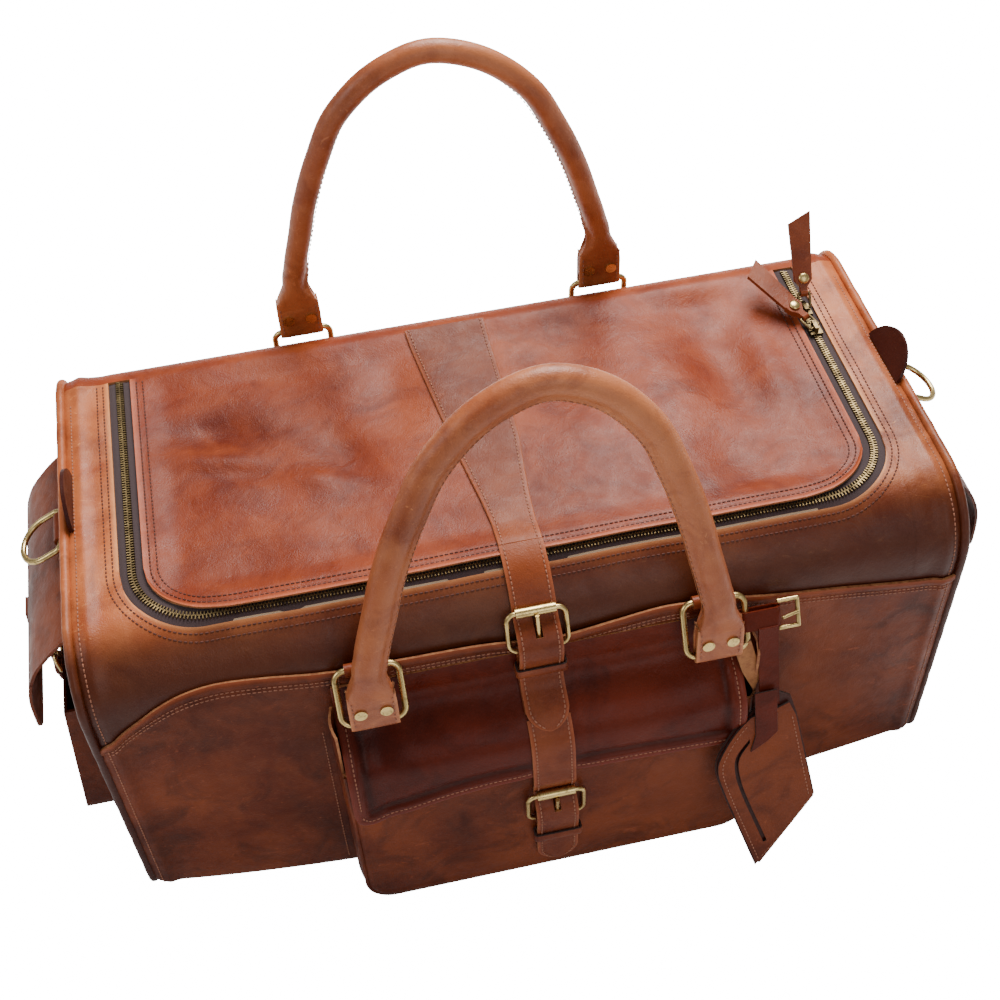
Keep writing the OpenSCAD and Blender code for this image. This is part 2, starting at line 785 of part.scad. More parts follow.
module tag_pouch() {
    color(leather_colour) translate([158, -190.8, 150]) rotate([-tag_tilt, 0, 0]) difference() {
        along_y(-2.2, 2.2) polygon([[-45, -48], [-40, -35], [-20, -13], [-11, 3], [-1, 6],
            [10, 1], [15, -11], [29, -90], [-18, -147]]);
        along_y(-2.3, 0) polygon([[-25, -40], [-30, -52], [-26, -75], [-12, -128], [-10, -127],
            [-24, -75], [-28, -52], [-23, -41]]);
        along_y(-3, 3) translate([-14.2, -2]) square([16, 10]);
    }
}

front_panel();
back_panel();
base_panel();
end_panel_left();
end_panel_right();
front_overlay();
piping_left();
piping_right();
lining();
base_board();
zip_tape_body();
zip_teeth_body();
pocket_front();
pocket_gusset();
flap_root();
buckle_chapes();
keepers();
handle_chapes();
end_pocket_left();
end_pocket_right();
end_flap_roots();
end_chapes();
end_tabs();
lid_panel();
zip_tape_lid();
zip_teeth_lid();
lid_strap();
lid_tongue();
slider_a();
slider_b();
puller_ring_a();
puller_ring_b();
pull_a();
pull_b();
rings_front();
rings_rear();
handle_front();
handle_rear();
rivets_front();
rivets_rear();
frame_top();
roller_top();
prong_top();
frame_low();
roller_low();
prong_low();
pocket_flap();
flap_strap();
flap_tongue();
end_flap_left();
end_flap_right();
end_strap_left();
end_strap_right();
end_buckle_left();
end_buckle_right();
d_ring_left();
d_ring_right();
tag_strap();
tag_buckle();
tag_pouch();
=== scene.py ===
"""Weekender bag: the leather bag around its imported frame. Lengths are millimetres until mesh()."""
import math

import bmesh
import bpy
import numpy as np
from mathutils import Matrix, Vector
from mathutils.geometry import tessellate_polygon


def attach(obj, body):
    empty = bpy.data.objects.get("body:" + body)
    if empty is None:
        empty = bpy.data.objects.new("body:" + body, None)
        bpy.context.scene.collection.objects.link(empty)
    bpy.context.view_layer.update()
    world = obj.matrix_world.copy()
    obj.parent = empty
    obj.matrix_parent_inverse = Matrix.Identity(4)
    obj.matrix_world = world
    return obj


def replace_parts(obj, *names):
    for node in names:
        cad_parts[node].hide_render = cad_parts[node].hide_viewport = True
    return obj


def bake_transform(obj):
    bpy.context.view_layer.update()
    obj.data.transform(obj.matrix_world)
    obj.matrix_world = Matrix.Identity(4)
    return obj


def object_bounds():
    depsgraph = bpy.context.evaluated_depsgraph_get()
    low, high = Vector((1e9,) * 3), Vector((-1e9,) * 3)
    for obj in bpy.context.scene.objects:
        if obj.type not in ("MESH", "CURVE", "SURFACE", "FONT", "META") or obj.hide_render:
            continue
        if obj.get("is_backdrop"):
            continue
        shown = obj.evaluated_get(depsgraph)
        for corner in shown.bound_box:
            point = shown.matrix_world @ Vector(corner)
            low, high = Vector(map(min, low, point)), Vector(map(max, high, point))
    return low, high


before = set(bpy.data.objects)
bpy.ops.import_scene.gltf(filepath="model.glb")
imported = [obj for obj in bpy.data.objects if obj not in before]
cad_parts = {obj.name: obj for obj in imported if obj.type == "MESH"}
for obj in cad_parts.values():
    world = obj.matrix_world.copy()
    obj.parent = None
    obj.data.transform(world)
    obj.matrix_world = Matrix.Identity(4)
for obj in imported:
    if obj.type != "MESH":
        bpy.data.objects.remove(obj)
cad_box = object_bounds()

HEIGHT, HALF = 268.0, 148.0                  # of the bag, and half its depth
R_FRONT, R_BACK, R_FOOT = 52.0, 33.0, 18.0   # roundings of its side outline
Y_FRONT, Y_BACK, Z_FRONT = R_FRONT - HALF, HALF - R_BACK, HEIGHT - R_FRONT
ZIP_X, ZIP_Y, ZIP_R, HINGE = 256.0, 110.0, 45.0, 119.0   # middle of the zip, its corners, depth of the hinge
ZIP_CX, ZIP_CY = ZIP_X - ZIP_R, ZIP_R - ZIP_Y            # centre of a corner
STRAP_X = -2.0                               # middle of the centre strap


def show(name, data):
    ob = bpy.data.objects.new(name, data)
    bpy.context.collection.objects.link(ob)
    return ob


# ---------------- camera
F, AZ, EL, ROLL, DIST = 1489.0, -9.99, 48.86, -2.9, 1105.7
az, el, roll = (math.radians(a) for a in (AZ, EL, ROLL))
back = Vector((math.cos(el) * math.sin(az), -math.cos(el) * math.cos(az), math.sin(el)))
right0 = (-back).cross(Vector((0, 0, 1))).normalized()
up0 = right0.cross(-back)
right = math.cos(roll) * right0 + math.sin(roll) * up0
up = -math.sin(roll) * right0 + math.cos(roll) * up0
place = Matrix((right, up, back)).transposed().to_4x4()
place.translation = (Vector((3.8, 0, 195.6)) + DIST * back) * 0.001
camera_data = bpy.data.cameras.new("camera")
camera_data.lens = F / 1000 * 36
camera_data.sensor_width = 36
camera = show("camera", camera_data)
camera.matrix_world = place
bpy.context.scene.camera = camera


# ---------------- materials
class Nodes:
    def __init__(self, name):
        self.mat = bpy.data.materials.new(name)
        self.mat.use_nodes = True
        self.t = self.mat.node_tree
        self.bsdf = self.t.nodes["Principled BSDF"]

    def new(self, kind, **sets):
        n = self.t.nodes.new(kind)
        for k, v in sets.items():
            setattr(n, k, v)
        return n

    def put(self, key, value, node=None):
        """Set or link one input of the shader, or of the node given."""
        sock = (node or self.bsdf).inputs[key]
        if isinstance(value, (int, float, tuple)):
            sock.default_value = value
        else:
            self.t.links.new(value, sock)

    def noise(self, vector, scale, detail=4.0, rough=0.55, distort=0.0):
        n = self.new("ShaderNodeTexNoise")
        for key, value in (("Vector", vector), ("Scale", scale), ("Detail", detail), ("Roughness", rough),
                           ("Distortion", distort)):
            self.put(key, value, n)
        return n.outputs["Fac"]

    def ramp(self, fac, stops):
        n = self.new("ShaderNodeValToRGB")
        e = n.color_ramp.elements
        while len(e) < len(stops):
            e.new(0.5)
        for i, (p, c) in enumerate(stops):
            e[i].position = p
            e[i].color = (*c, 1)
        self.put("Fac", fac, n)
        return n.outputs["Color"]

    def mix(self, fac, a, b):
        n = self.new("ShaderNodeMix", data_type="RGBA", blend_type="MIX")
        for key, value in ((0, fac), (6, a), (7, b)):
            self.put(key, (*value, 1) if isinstance(value, tuple) else value, n)
        return n.outputs[2]

    def times(self, a, factor):
        n = self.new("ShaderNodeMath", operation="MULTIPLY")
        self.put(0, a, n)
        self.put(1, factor, n)
        return n.outputs[0]

    def bump(self, height, strength, distance, normal=None):
        n = self.new("ShaderNodeBump")
        for key, value in (("Height", height), ("Strength", strength), ("Distance", distance), ("Normal", normal)):
            if value is not None:
                self.put(key, value, n)
        return n.outputs["Normal"]

    def coords(self, scale=(1, 1, 1), shift=(0, 0, 0)):
        n = self.new("ShaderNodeMapping")
        for key, value in (("Vector", self.place()), ("Scale", scale), ("Location", shift)):
            self.put(key, value, n)
        return n.outputs["Vector"]

    def place(self):
        return self.new("ShaderNodeTexCoord").outputs["Object"]


GREY = lambda v: (v, v, v)
PAINTED_SHADE_TONE = (0.044, 0.0058, 0.0014)             # painted shade: the dark tone that the body leather is mixed toward far down a wall or over an edge, away from the lights


def leather(name, dark, mid, light, rough=0.42, scuff=0.4, grain=1.0, shift=(0, 0, 0), gloss=0.22, painted_shade_axes=None):
    """Waxed pull-up leather: cloudy tone, pale scuffs, fine grain, paler where an edge is worn; darker as painted shade
    where the shade attribute is set, and, when asked, painted shade along object axes.
    """
    m = Nodes(name)
    v = m.coords(shift=shift)
    cloud = m.noise(v, 9.0, 3.0, 0.5, 0.3)
    tone = m.ramp(cloud, [(0.30, dark), (0.50, mid), (0.72, light)])
    patch = m.noise(v, 34.0, 5.0, 0.6, 0.6)
    tone = m.mix(m.ramp(patch, [(0.35, GREY(0)), (0.75, GREY(0.55))]), tone, light)
    deep = m.noise(m.coords((1, 1, 1), (3.1, 1.7, 0.4)), 22.0, 6.0, 0.62, 1.2)
    tone = m.mix(m.ramp(deep, [(0.50, GREY(0)), (0.70, GREY(0.6))]), tone, dark)
    wisps = m.noise(m.coords((1.0, 2.6, 2.2), (0.3, 0.1, 0.7)), 55.0, 8.0, 0.72, 2.4)
    mark = m.ramp(wisps, [(0.60, GREY(0)), (0.68, GREY(0.8 * scuff)), (0.75, GREY(scuff))])
    pale = tuple(min(1, c * 1.9 + 0.02) for c in light)
    tone = m.mix(mark, tone, pale)
    hair = m.noise(m.coords((5, 1.3, 2.1), (1.9, 0.2, 0.5)), 60.0, 3.0, 0.5, 3.5)
    line = m.ramp(hair, [(0.485, GREY(0)), (0.5, GREY(0.35 * scuff)), (0.515, GREY(0))])
    tone = m.mix(line, tone, pale)
    edge = m.new("ShaderNodeAttribute", attribute_name="edge")
    tone = m.mix(m.times(edge.outputs["Fac"], 0.6), tone, pale)
    # painted shade: where the shade attribute is set, the tone is darkened toward a quarter of the dark colour
    shade = m.new("ShaderNodeAttribute", attribute_name="shade")
    tone = m.mix(m.times(shade.outputs["Fac"], 0.7), tone, tuple(c * 0.25 for c in dark))
    # painted shade: the tone is darkened along object axes, where walls turn away from the lights
    if painted_shade_axes:
        xyz = m.new("ShaderNodeSeparateXYZ")
        m.put(0, m.place(), xyz)
        for axis, a, b, amount in painted_shade_axes:
            way = m.new("ShaderNodeMapRange", interpolation_type="SMOOTHSTEP")
            for key, value in (("Value", xyz.outputs[axis]), ("From Min", a), ("From Max", b), ("To Min", amount),
                               ("To Max", 0.0)):
                m.put(key, value, way)
            tone = m.mix(way.outputs["Result"], tone, PAINTED_SHADE_TONE)
    m.put("Base Color", tone)
    m.put("Roughness", m.ramp(m.noise(v, 48.0, 6.0, 0.65, 0.8), [(0.3, GREY(rough - 0.09)), (0.7, GREY(rough + 0.13))]))
    cell = m.new("ShaderNodeTexVoronoi", feature="SMOOTH_F1")
    m.put("Scale", 1150.0, cell)
    m.put("Smoothness", 0.6, cell)
    m.put("Vector", v, cell)
    fine = m.bump(cell.outputs["Distance"], 0.30 * grain, 0.0004)
    soft = m.bump(m.noise(v, 420.0, 5.0, 0.6), 0.25 * grain, 0.0006, fine)
    wave = m.bump(m.noise(v, 62.0, 4.0, 0.55, 0.6), 0.30, 0.0022, soft)
    m.put("Normal", wave)
    m.put("Specular IOR Level", gloss)
    m.put("Coat Weight", gloss * 0.15)
    m.put("Coat Roughness", 0.32)
    return m.mat


def raw_edge(name, colour, dark):
    m = Nodes(name)
    v = m.coords()
    m.put("Base Color", m.ramp(m.noise(v, 240.0, 5.0, 0.7), [(0.35, dark), (0.65, colour)]))
    m.put("Roughness", 0.72)
    m.put("Normal", m.bump(m.noise(v, 1600.0, 3.0), 0.5, 0.0005))
    return m.mat


def metal(name, colour, tarnish, rough=0.26, wear=0.5):
    m = Nodes(name)
    n = m.noise(m.coords(), 130.0, 6.0, 0.7, 0.5)
    m.put("Base Color", m.ramp(n, [(0.30, tarnish), (0.30 + 0.4 * wear, colour)]))
    m.put("Roughness", m.ramp(n, [(0.3, GREY(rough + 0.2)), (0.65, GREY(rough))]))
    m.put("Metallic", 1.0)
    brushed = m.noise(m.coords((1, 6, 6)), 900.0, 2.0)
    m.put("Normal", m.bump(brushed, 0.12, 0.0002))
    return m.mat


def woven(name, a, b, scale):
    m = Nodes(name)
    v = m.coords()
    w1 = m.new("ShaderNodeTexWave", wave_type="BANDS", bands_direction="DIAGONAL")
    m.put("Scale", scale, w1)
    m.put("Distortion", 0.6, w1)
    m.put("Detail Scale", 3.0, w1)
    m.put("Vector", v, w1)
    c = m.mix(w1.outputs["Fac"], a, b)
    c = m.mix(m.ramp(m.noise(v, 30.0, 5.0), [(0.35, GREY(0)), (0.8, GREY(0.5))]), c, tuple(x * 0.6 for x in a))
    m.put("Base Color", c)
    m.put("Roughness", 0.85)
    m.put("Sheen Weight", 0.25)
    m.put("Normal", m.bump(w1.outputs["Fac"], 0.4, 0.0004))
    return m.mat


# painted shade on the body: darker towards the front wall (y below -131 mm) and below a height of 200 mm
BODY = leather("leather_body", (0.1357, 0.0207, 0.0047), (0.3776, 0.0779, 0.0189), (0.6608, 0.2124, 0.0708),
               0.40, 0.42, gloss=0.25, painted_shade_axes=((1, -0.131, -0.096, 0.84), (2, 0.200, 0.264, 0.80)))
LID = leather("leather_lid", (0.105, 0.0125, 0.0040), (0.215, 0.0330, 0.0098), (0.345, 0.0730, 0.0220),
              0.37, 0.20, shift=(0.4, 0.1, 0.2), gloss=0.16)
# painted shade: a much darker copy of the body's leather for the lower and front-facing parts (base, overlay, pockets,
# tag, end pockets), which face away from the lights
SHADED_FRONT = leather("leather_front_painted_shade", (0.0342, 0.0046, 0.0013), (0.1003, 0.0148, 0.0034), (0.2337, 0.0490, 0.0125),
                0.42, 0.45, shift=(1.3, 0.6, 0.9), gloss=0.16)
FLAP = leather("leather_flap", (0.0432, 0.0041, 0.0015), (0.0842, 0.0089, 0.0032), (0.1404, 0.0194, 0.0069),
               0.34, 0.12, shift=(0.2, 1.6, 0.3), gloss=0.13)
STRAP = leather("leather_strap", (0.1083, 0.0165, 0.0051), (0.1710, 0.0308, 0.0089), (0.2793, 0.0684, 0.0217),
                0.38, 0.32, shift=(5.3, 0.2, 0.9), gloss=0.18)
HANDLE = leather("leather_handle", (0.1590, 0.0254, 0.0070), (0.3498, 0.0816, 0.0228), (0.5724, 0.1908, 0.0700),
                 0.40, 0.38, 1.2, shift=(0.9, 2.6, 0.4), gloss=0.42)
DEEP = leather("leather_deep", (0.022, 0.0032, 0.0018), (0.040, 0.0060, 0.0034), (0.066, 0.012, 0.006), 0.38, 0.15)
TAN = raw_edge("leather_edge", (0.48, 0.20, 0.075), (0.26, 0.075, 0.025))
DARK_EDGE = raw_edge("leather_dark_edge", (0.050, 0.020, 0.014), (0.018, 0.008, 0.006))
FLESH = raw_edge("leather_flesh_side", (0.46, 0.185, 0.060), (0.30, 0.105, 0.034))
THREAD = raw_edge("thread", (0.42, 0.17, 0.10), (0.28, 0.10, 0.055))
DARK_THREAD = raw_edge("thread_dark", (0.12, 0.028, 0.014), (0.06, 0.014, 0.008))
BRASS = metal("brass_antique", (0.72, 0.53, 0.22), (0.20, 0.135, 0.050), 0.22, 0.45)
OLD_BRASS = metal("brass_zip", (0.26, 0.185, 0.085), (0.05, 0.035, 0.020), 0.34, 0.8)
TAPE = woven("zip_tape_weave", (0.050, 0.022, 0.024), (0.026, 0.011, 0.013), 900.0)
LINING = woven("lining_twill", (0.42, 0.31, 0.20), (0.34, 0.25, 0.16), 420.0)
BOARD = woven("board_cloth", (0.10, 0.07, 0.05), (0.07, 0.05, 0.035), 300.0)


# ---------------- mesh helpers
def bevel_edges(ob, width):
    b = ob.modifiers.new("bevel", "BEVEL")
    b.width, b.segments, b.limit_method = width, 2, "ANGLE"
    b.angle_limit = math.radians(50)


def mesh(name, verts, faces, mats, body, face_mat=None, attrs=None, sharp=38.0, bevel=0.0):
    """One object from millimetres; it rides on a body."""
    me = bpy.data.meshes.new(name)
    me.from_pydata((np.asarray(verts, dtype=float) * 0.001).tolist(), [], [list(map(int, f)) for f in faces])
    for m in mats:
        me.materials.append(m)
    if face_mat is not None:
        me.polygons.foreach_set("material_index", np.asarray(face_mat, dtype=np.int32))
    me.polygons.foreach_set("use_smooth", np.ones(len(me.polygons), dtype=bool))
    for key, val in (attrs or {}).items():
        a = me.attributes.new(key, "FLOAT", "POINT")
        a.data.foreach_set("value", np.asarray(val, dtype=np.float32))
    bm = bmesh.new()
    bm.from_mesh(me)
    bmesh.ops.recalc_face_normals(bm, faces=bm.faces)
    limit = math.radians(sharp)
    for e in bm.edges:
        if len(e.link_faces) == 2 and e.calc_face_angle(0.0) > limit:
            e.smooth = False
    bm.to_mesh(me)
    bm.free()
    me.update()
    ob = show(name, me)
    if bevel:
        bevel_edges(ob, bevel * 0.001)
    if body:
        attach(ob, body)
    return ob


def quads(nu, nv, wrap_u=False, wrap_v=False):
    out = []
    for i in range(nu if wrap_u else nu - 1):
        for j in range(nv if wrap_v else nv - 1):
            a, b = i * nv + j, ((i + 1) % nu) * nv + j
            c, d = ((i + 1) % nu) * nv + (j + 1) % nv, i * nv + (j + 1) % nv
            out.append((a, b, c, d))
    return out


def outward(V, NN, faces):
    """The faces, each turned to the side of its normals."""
    out = []
    for f in faces:
        a, b, c = V[f[0]], V[f[1]], V[f[2]]
        out.append(f if np.dot(np.cross(b - a, c - b), NN[f[0]]) > 0 else tuple(reversed(f)))
    return out


def thick(name, P, N, t, mats, body, faces=None, wrap_v=False, attrs=None, bevel=0.5, edge_fade=None):
    """A leather piece: outer surface P with normals N, t thick, its rim in the second material."""
    if faces is None:
        faces = quads(*P.shape[:2], wrap_v=wrap_v)
    V = P.reshape(-1, 3)
    NN = N.reshape(-1, 3)
    n = len(V)
    W = V - t * NN
    a, b, c = V[faces[0][0]], V[faces[0][1]], V[faces[0][2]]
    if np.dot(np.cross(b - a, c - b), NN[faces[0][0]]) < 0:
        faces = [tuple(reversed(f)) for f in faces]
    seen = {}
    for f in faces:
        for i in range(len(f)):
            e = (f[i], f[(i + 1) % len(f)])
            seen[e] = seen.get(e, 0) + 1
    rim = [e for e in seen if (e[1], e[0]) not in seen]
    all_faces = list(faces) + [tuple(n + i for i in reversed(f)) for f in faces]
    all_faces += [(a, a + n, b + n, b) for a, b in rim]
    fm = [0] * len(faces) + [2 if len(mats) > 2 else 0] * len(faces) + [1] * len(rim)
    edge = np.zeros(n) if edge_fade is None else np.asarray(edge_fade).reshape(-1)
    at = {"edge": np.concatenate([edge, edge])}
    for k, v in (attrs or {}).items():
        at[k] = np.concatenate([np.asarray(v).reshape(-1)] * 2)
    return mesh(name, np.vstack([V, W]), all_faces, mats, body, fm, at, bevel=bevel)


def sind(d):
    return math.sin(math.radians(d))


def cosd(d):
    return math.cos(math.radians(d))


def unit(v):
    return v / np.maximum(np.linalg.norm(v, axis=-1, keepdims=True), 1e-9)


def tangents(p, closed=False):
    return unit(np.roll(p, -1, 0) - np.roll(p, 1, 0)) if closed else unit(np.gradient(p, axis=0))


def right_of(line, closed=False):
    """Unit normals of a flat line, on the right of its run."""
    T = tangents(line, closed)
    return np.stack([T[:, 1], -T[:, 0]], axis=1)


def lengths(p):
    """Distance along a line at each of its points."""
    return np.concatenate([[0], np.cumsum(np.linalg.norm(np.diff(p, axis=0), axis=1))])


def along(q, s, p):
    """Points of the line p, measured by s, at the distances q."""
    return np.stack([np.interp(q, s, p[:, k]) for k in range(p.shape[1])], axis=1)


def grid_normals(P, toward):
    """Normals of a grid of points, turned to the side of the vector or point field given."""
    N = unit(np.cross(np.gradient(P, axis=0), np.gradient(P, axis=1)))
    flip = np.sum(N * toward, axis=-1, keepdims=True) < 0
    return np.where(flip, -N, N)


def hump(x, width):
    return np.exp(-(x / width) ** 2)


def smoothstep(a, b, x):
    t = np.clip((np.asarray(x, dtype=float) - a) / (b - a), 0, 1)
    return t * t * (3 - 2 * t)


def spline(points, n):
    """Catmull-Rom through the points, evenly spaced by length."""
    p = np.asarray(points, dtype=float)
    q = np.vstack([2 * p[0] - p[1], p, 2 * p[-1] - p[-2]])
    out = []
    for i in range(1, len(q) - 2):
        for t in np.linspace(0, 1, 24, endpoint=False):
            a, b, c, d = q[i - 1], q[i], q[i + 1], q[i + 2]
            out.append(0.5 * (2 * b + (c - a) * t + (2 * a - 5 * b + 4 * c - d) * t * t
                              + (3 * b - a - 3 * c + d) * t ** 3))
    out.append(p[-1])
    return even(np.array(out), n)


def even(p, n):
    s = lengths(p)
    return along(np.linspace(0, s[-1], n), s, p)


def rumple(x, y, size, seed):
    """Smooth irregular height, about -1 to 1, for folds of the given size."""
    rng = np.random.RandomState(seed)
    out = np.zeros(np.broadcast(x, y).shape)
    for k in range(7):
        a = rng.uniform(0, 2 * math.pi)
        f = 2 * math.pi / (size * rng.uniform(0.6, 1.7))
        out = out + np.sin(f * (np.cos(a) * x + np.sin(a) * y) + rng.uniform(0, 6.3)) / 7 * 1.7
    return out


def stitches(name, runs, body, mat, pitch=3.4, size=2.5, r=0.52):
    """Sewing along runs of (points, normals): one short raised thread after another."""
    ring = [(-0.5, 0.35), (-0.3, 1.0), (0.3, 1.0), (0.5, 0.35)]
    ang = np.linspace(0, 2 * math.pi, 6, endpoint=False)
    V, Fs = [], []
    for P, N in runs:
        P = np.asarray(P, dtype=float)
        s = lengths(P)
        q = np.arange(pitch * 0.5, s[-1], pitch)
        C = along(q, s, P)
        T = unit(along(q + 0.6, s, P) - along(q - 0.6, s, P))
        M = unit(along(q, s, np.asarray(N)))
        B = unit(np.cross(M, T))
        M = np.cross(T, B)
        for c, t, m, b in zip(C, T, M, B):
            base = len(V)
            for a, k in ring:
                for g in ang:
                    V.append(c + t * a * size + (math.cos(g) * b + math.sin(g) * 0.8 * m) * r * k + m * 0.10)
            for i in range(3):
                for j in range(6):
                    Fs.append((base + i * 6 + j, base + i * 6 + (j + 1) % 6,
                               base + (i + 1) * 6 + (j + 1) % 6, base + (i + 1) * 6 + j))
            Fs.append(tuple(base + j for j in range(5, -1, -1)))
            Fs.append(tuple(base + 18 + j for j in range(6)))
    return mesh(name, V, Fs, [mat], body, sharp=80)


def tube(name, path, r, mat, body, sides=14, closed=False):
    """A round section along a path, carried without twist; r is one radius or one for each point."""
    p = np.asarray(path, dtype=float)
    n = len(p)
    k = np.broadcast_to(r, n)
    T = tangents(p, closed)
    nrm = np.cross(T[0], [0.0, 0.0, 1.0])
    if np.linalg.norm(nrm) < 0.2:
        nrm = np.cross(T[0], [1.0, 0.0, 0.0])
    V = []
    ang = np.linspace(0, 2 * math.pi, sides, endpoint=False)
    for i in range(n):
        nrm = nrm - T[i] * np.dot(nrm, T[i])
        nrm /= np.linalg.norm(nrm)
        b = np.cross(T[i], nrm)
        V.append(p[i] + k[i] * (np.cos(ang)[:, None] * nrm + np.sin(ang)[:, None] * b))
    V = np.array(V).reshape(-1, 3)
    Fs = quads(n, sides, wrap_u=closed, wrap_v=True)
    if not closed:
        Fs.append(tuple(range(sides - 1, -1, -1)))
        Fs.append(tuple((n - 1) * sides + j for j in range(sides)))
    return mesh(name, V, Fs, [mat], body, attrs={"edge": np.zeros(len(V))}, sharp=60)


# ---------------- the bag's surface
def side_table():
    pts = []
    for cy, cz, r, a, n in ((R_FOOT - HALF, R_FOOT, R_FOOT, -180, 24), (Y_FRONT, Z_FRONT, R_FRONT, -90, 60),
                            (Y_BACK, HEIGHT - R_BACK, R_BACK, 0, 40), (HALF - R_FOOT, R_FOOT, R_FOOT, 90, 24)):
        pts += [(cy + r * math.sin(g), cz + r * math.cos(g))
                for g in np.linspace(math.radians(a), math.radians(a + 90), n)]
    p = np.array([(0.0, 0.0)] + pts + [(0.0, 0.0)])
    p = p[np.concatenate([[True], np.linalg.norm(np.diff(p, axis=0), axis=1) > 1e-6])]
    fine = [p[0]]
    for a, b in zip(p[:-1], p[1:]):
        k = max(1, int(np.linalg.norm(b - a) / 1.0))
        fine += [a + (b - a) * (i + 1) / k for i in range(k)]
    return np.array(fine), lengths(np.array(fine))


SIDE, S = side_table()
ARC = math.pi / 2
S0 = (HALF - R_FOOT) + R_FOOT * ARC          # s where the front wall starts, at z = R_FOOT
S_TOP = S0 + Z_FRONT - R_FOOT + R_FRONT * ARC  # where the flat top starts, at y = Y_FRONT
S_WALL = S_TOP + Y_BACK - Y_FRONT + R_BACK * ARC   # where the back wall starts
S_END = S_WALL + HEIGHT - R_BACK - R_FOOT    # where the back wall ends


def s_of_y(y):
    """Distance along the side line of a point of the top at depth y."""
    y = np.asarray(y, dtype=float)
    a = np.arcsin(np.clip((Y_FRONT - y) / R_FRONT, 0, 1))
    b = np.arcsin(np.clip((y - Y_BACK) / R_BACK, 0, 1))
    return S_TOP + np.maximum(y, Y_FRONT) - Y_FRONT - R_FRONT * a - np.maximum(y - Y_BACK, 0) + R_BACK * b


def s_of_z(z):
    """The same for a point of the front at height z."""
    z = np.asarray(z, dtype=float)
    a = np.arcsin(np.clip((z - Z_FRONT) / R_FRONT, 0, 1))
    return S0 + np.minimum(z, Z_FRONT) - R_FOOT + R_FRONT * a


# Folds of the lid: height, centre x and y, reach along and across, turn.
FOLDS = ((-6.5, 181, 45, 24, 70, 4), (-4.0, 163, -62, 22, 30, 25), (3.0, 128, 10, 30, 80, 0), (2.6, 214, 10, 14, 60, 0),
         (-4.5, -104, 12, 16, 34, 20), (3.0, -135, -6, 34, 9, -18), (2.8, -195, 24, 40, 10, -14),
         (-3.2, -190, 52, 34, 14, -12), (-2.4, -165, 4, 40, 9, -15), (-3.0, -60, 70, 20, 44, 0),
         (2.0, 60, -20, 40, 60, 0), (-2.2, 70, 60, 26, 46, 20))


def bump2(x, y, cx, cy, sx, sy, turn):
    c, s = cosd(turn), sind(turn)
    u, v = (x - cx) * c + (y - cy) * s, -(x - cx) * s + (y - cy) * c
    return np.exp(-(u / sx) ** 2 - (v / sy) ** 2)


def soften(x, y, z):
    """How the stuffed leather leaves the flat walls: belly, sag and folds."""
    ax = np.abs(x)
    wall = 1 - np.clip(ax / 300, 0, 1) ** 2.3
    front, rear = smoothstep(-60, -140, y), smoothstep(60, 140, y)
    low = 1 - smoothstep(30, 205, z)
    dy = -20.0 * wall * low * front + 8.0 * wall * low * rear
    dy = dy + front * wall * 1.6 * rumple(x, z, 110, 5) * smoothstep(0, 40, z)
    dy = dy - front * wall * 2.2 * hump(z - 190, 26) * smoothstep(150, 220, ax)
    top = smoothstep(225, 264, z)
    calm = 1 - smoothstep(222, 246, ax)
    near = smoothstep(-104, -80, y) * (1 - smoothstep(96, 122, y))
    sag = -3.5 * calm * near
    folds = sum(height * bump2(x, y, *where) for height, *where in FOLDS)
    dz = top * (sag + calm * near * (folds + 0.9 * rumple(x, y, 95, 3)))
    ends = smoothstep(262, 272, ax) * (1 - smoothstep(290, 296, ax))
    dz = dz + top * ends * 0.8 * rumple(x * 2.2, y, 60, 8)
    puff = 1.7 * hump(ax - 286.5, 4.6) - 1.6 * hump(ax - 297.5, 2.6)
    return dy, dz, puff


def surface(x, s):
    y = np.interp(s, S, SIDE[:, 0])
    z = np.interp(s, S, SIDE[:, 1])
    dy, dz, puff = soften(x, y, z)
    return np.stack(np.broadcast_arrays(np.asarray(x, dtype=float), y + dy, z + dz), axis=-1), puff


def bag(x, s, off=0.0):
    """Point and normal of the bag's skin, off millimetres outside it."""
    x, s = np.broadcast_arrays(np.asarray(x, dtype=float), np.asarray(s, dtype=float))
    P, puff = surface(x, s)
    e = 1.5
    A = surface(x + e, s)[0] - surface(x - e, s)[0]
    B = surface(x, s + e)[0] - surface(x, s - e)[0]
    N = unit(np.cross(A, B))
    return P + (np.asarray(off) + puff)[..., None] * N, N


def plan(q, o):
    """A point beside the zip: q along it from the back left end, o outward."""
    side = HINGE - ZIP_CY - 0.6
    arc = ZIP_R * ARC
    run = 2 * ZIP_CX
    q = np.asarray(q, dtype=float)
    k = [side, side + arc, side + arc + run, side + 2 * arc + run]
    a1, a2 = (q - k[0]) / ZIP_R, (q - k[2]) / ZIP_R
    r = ZIP_R + o
    part = [q < end for end in k]
    x = np.select(part, [-ZIP_X - o, -ZIP_CX - r * np.cos(a1), -ZIP_CX + (q - k[1]),
                         ZIP_CX + r * np.sin(a2)], ZIP_X + o)
    y = np.select(part, [HINGE - 0.6 - q, ZIP_CY - r * np.sin(a1), -ZIP_Y - o + 0 * q,
                         ZIP_CY - r * np.cos(a2)], ZIP_CY + (q - k[3]))
    return x, y


ZIP_LEN = 2 * (HINGE - ZIP_CY - 0.6) + 2 * ZIP_R * ARC + 2 * ZIP_CX


def zip_line(q, o, off=0.0):
    x, y = plan(q, o)
    return bag(x, s_of_y(y), off)


def tucked(x, y=None):
    """How far the lid's edge hides the zip: 1 along the front run, 0 round the corners and the sides."""
    w = smoothstep(242, 190, np.abs(x))
    return w if y is None else w * (np.asarray(y) < -100)


def lid_edge(x, y=None):
    """Offset from the zip's middle of the lid's free edge."""
    return -8.0 + 6.8 * tucked(x, y)


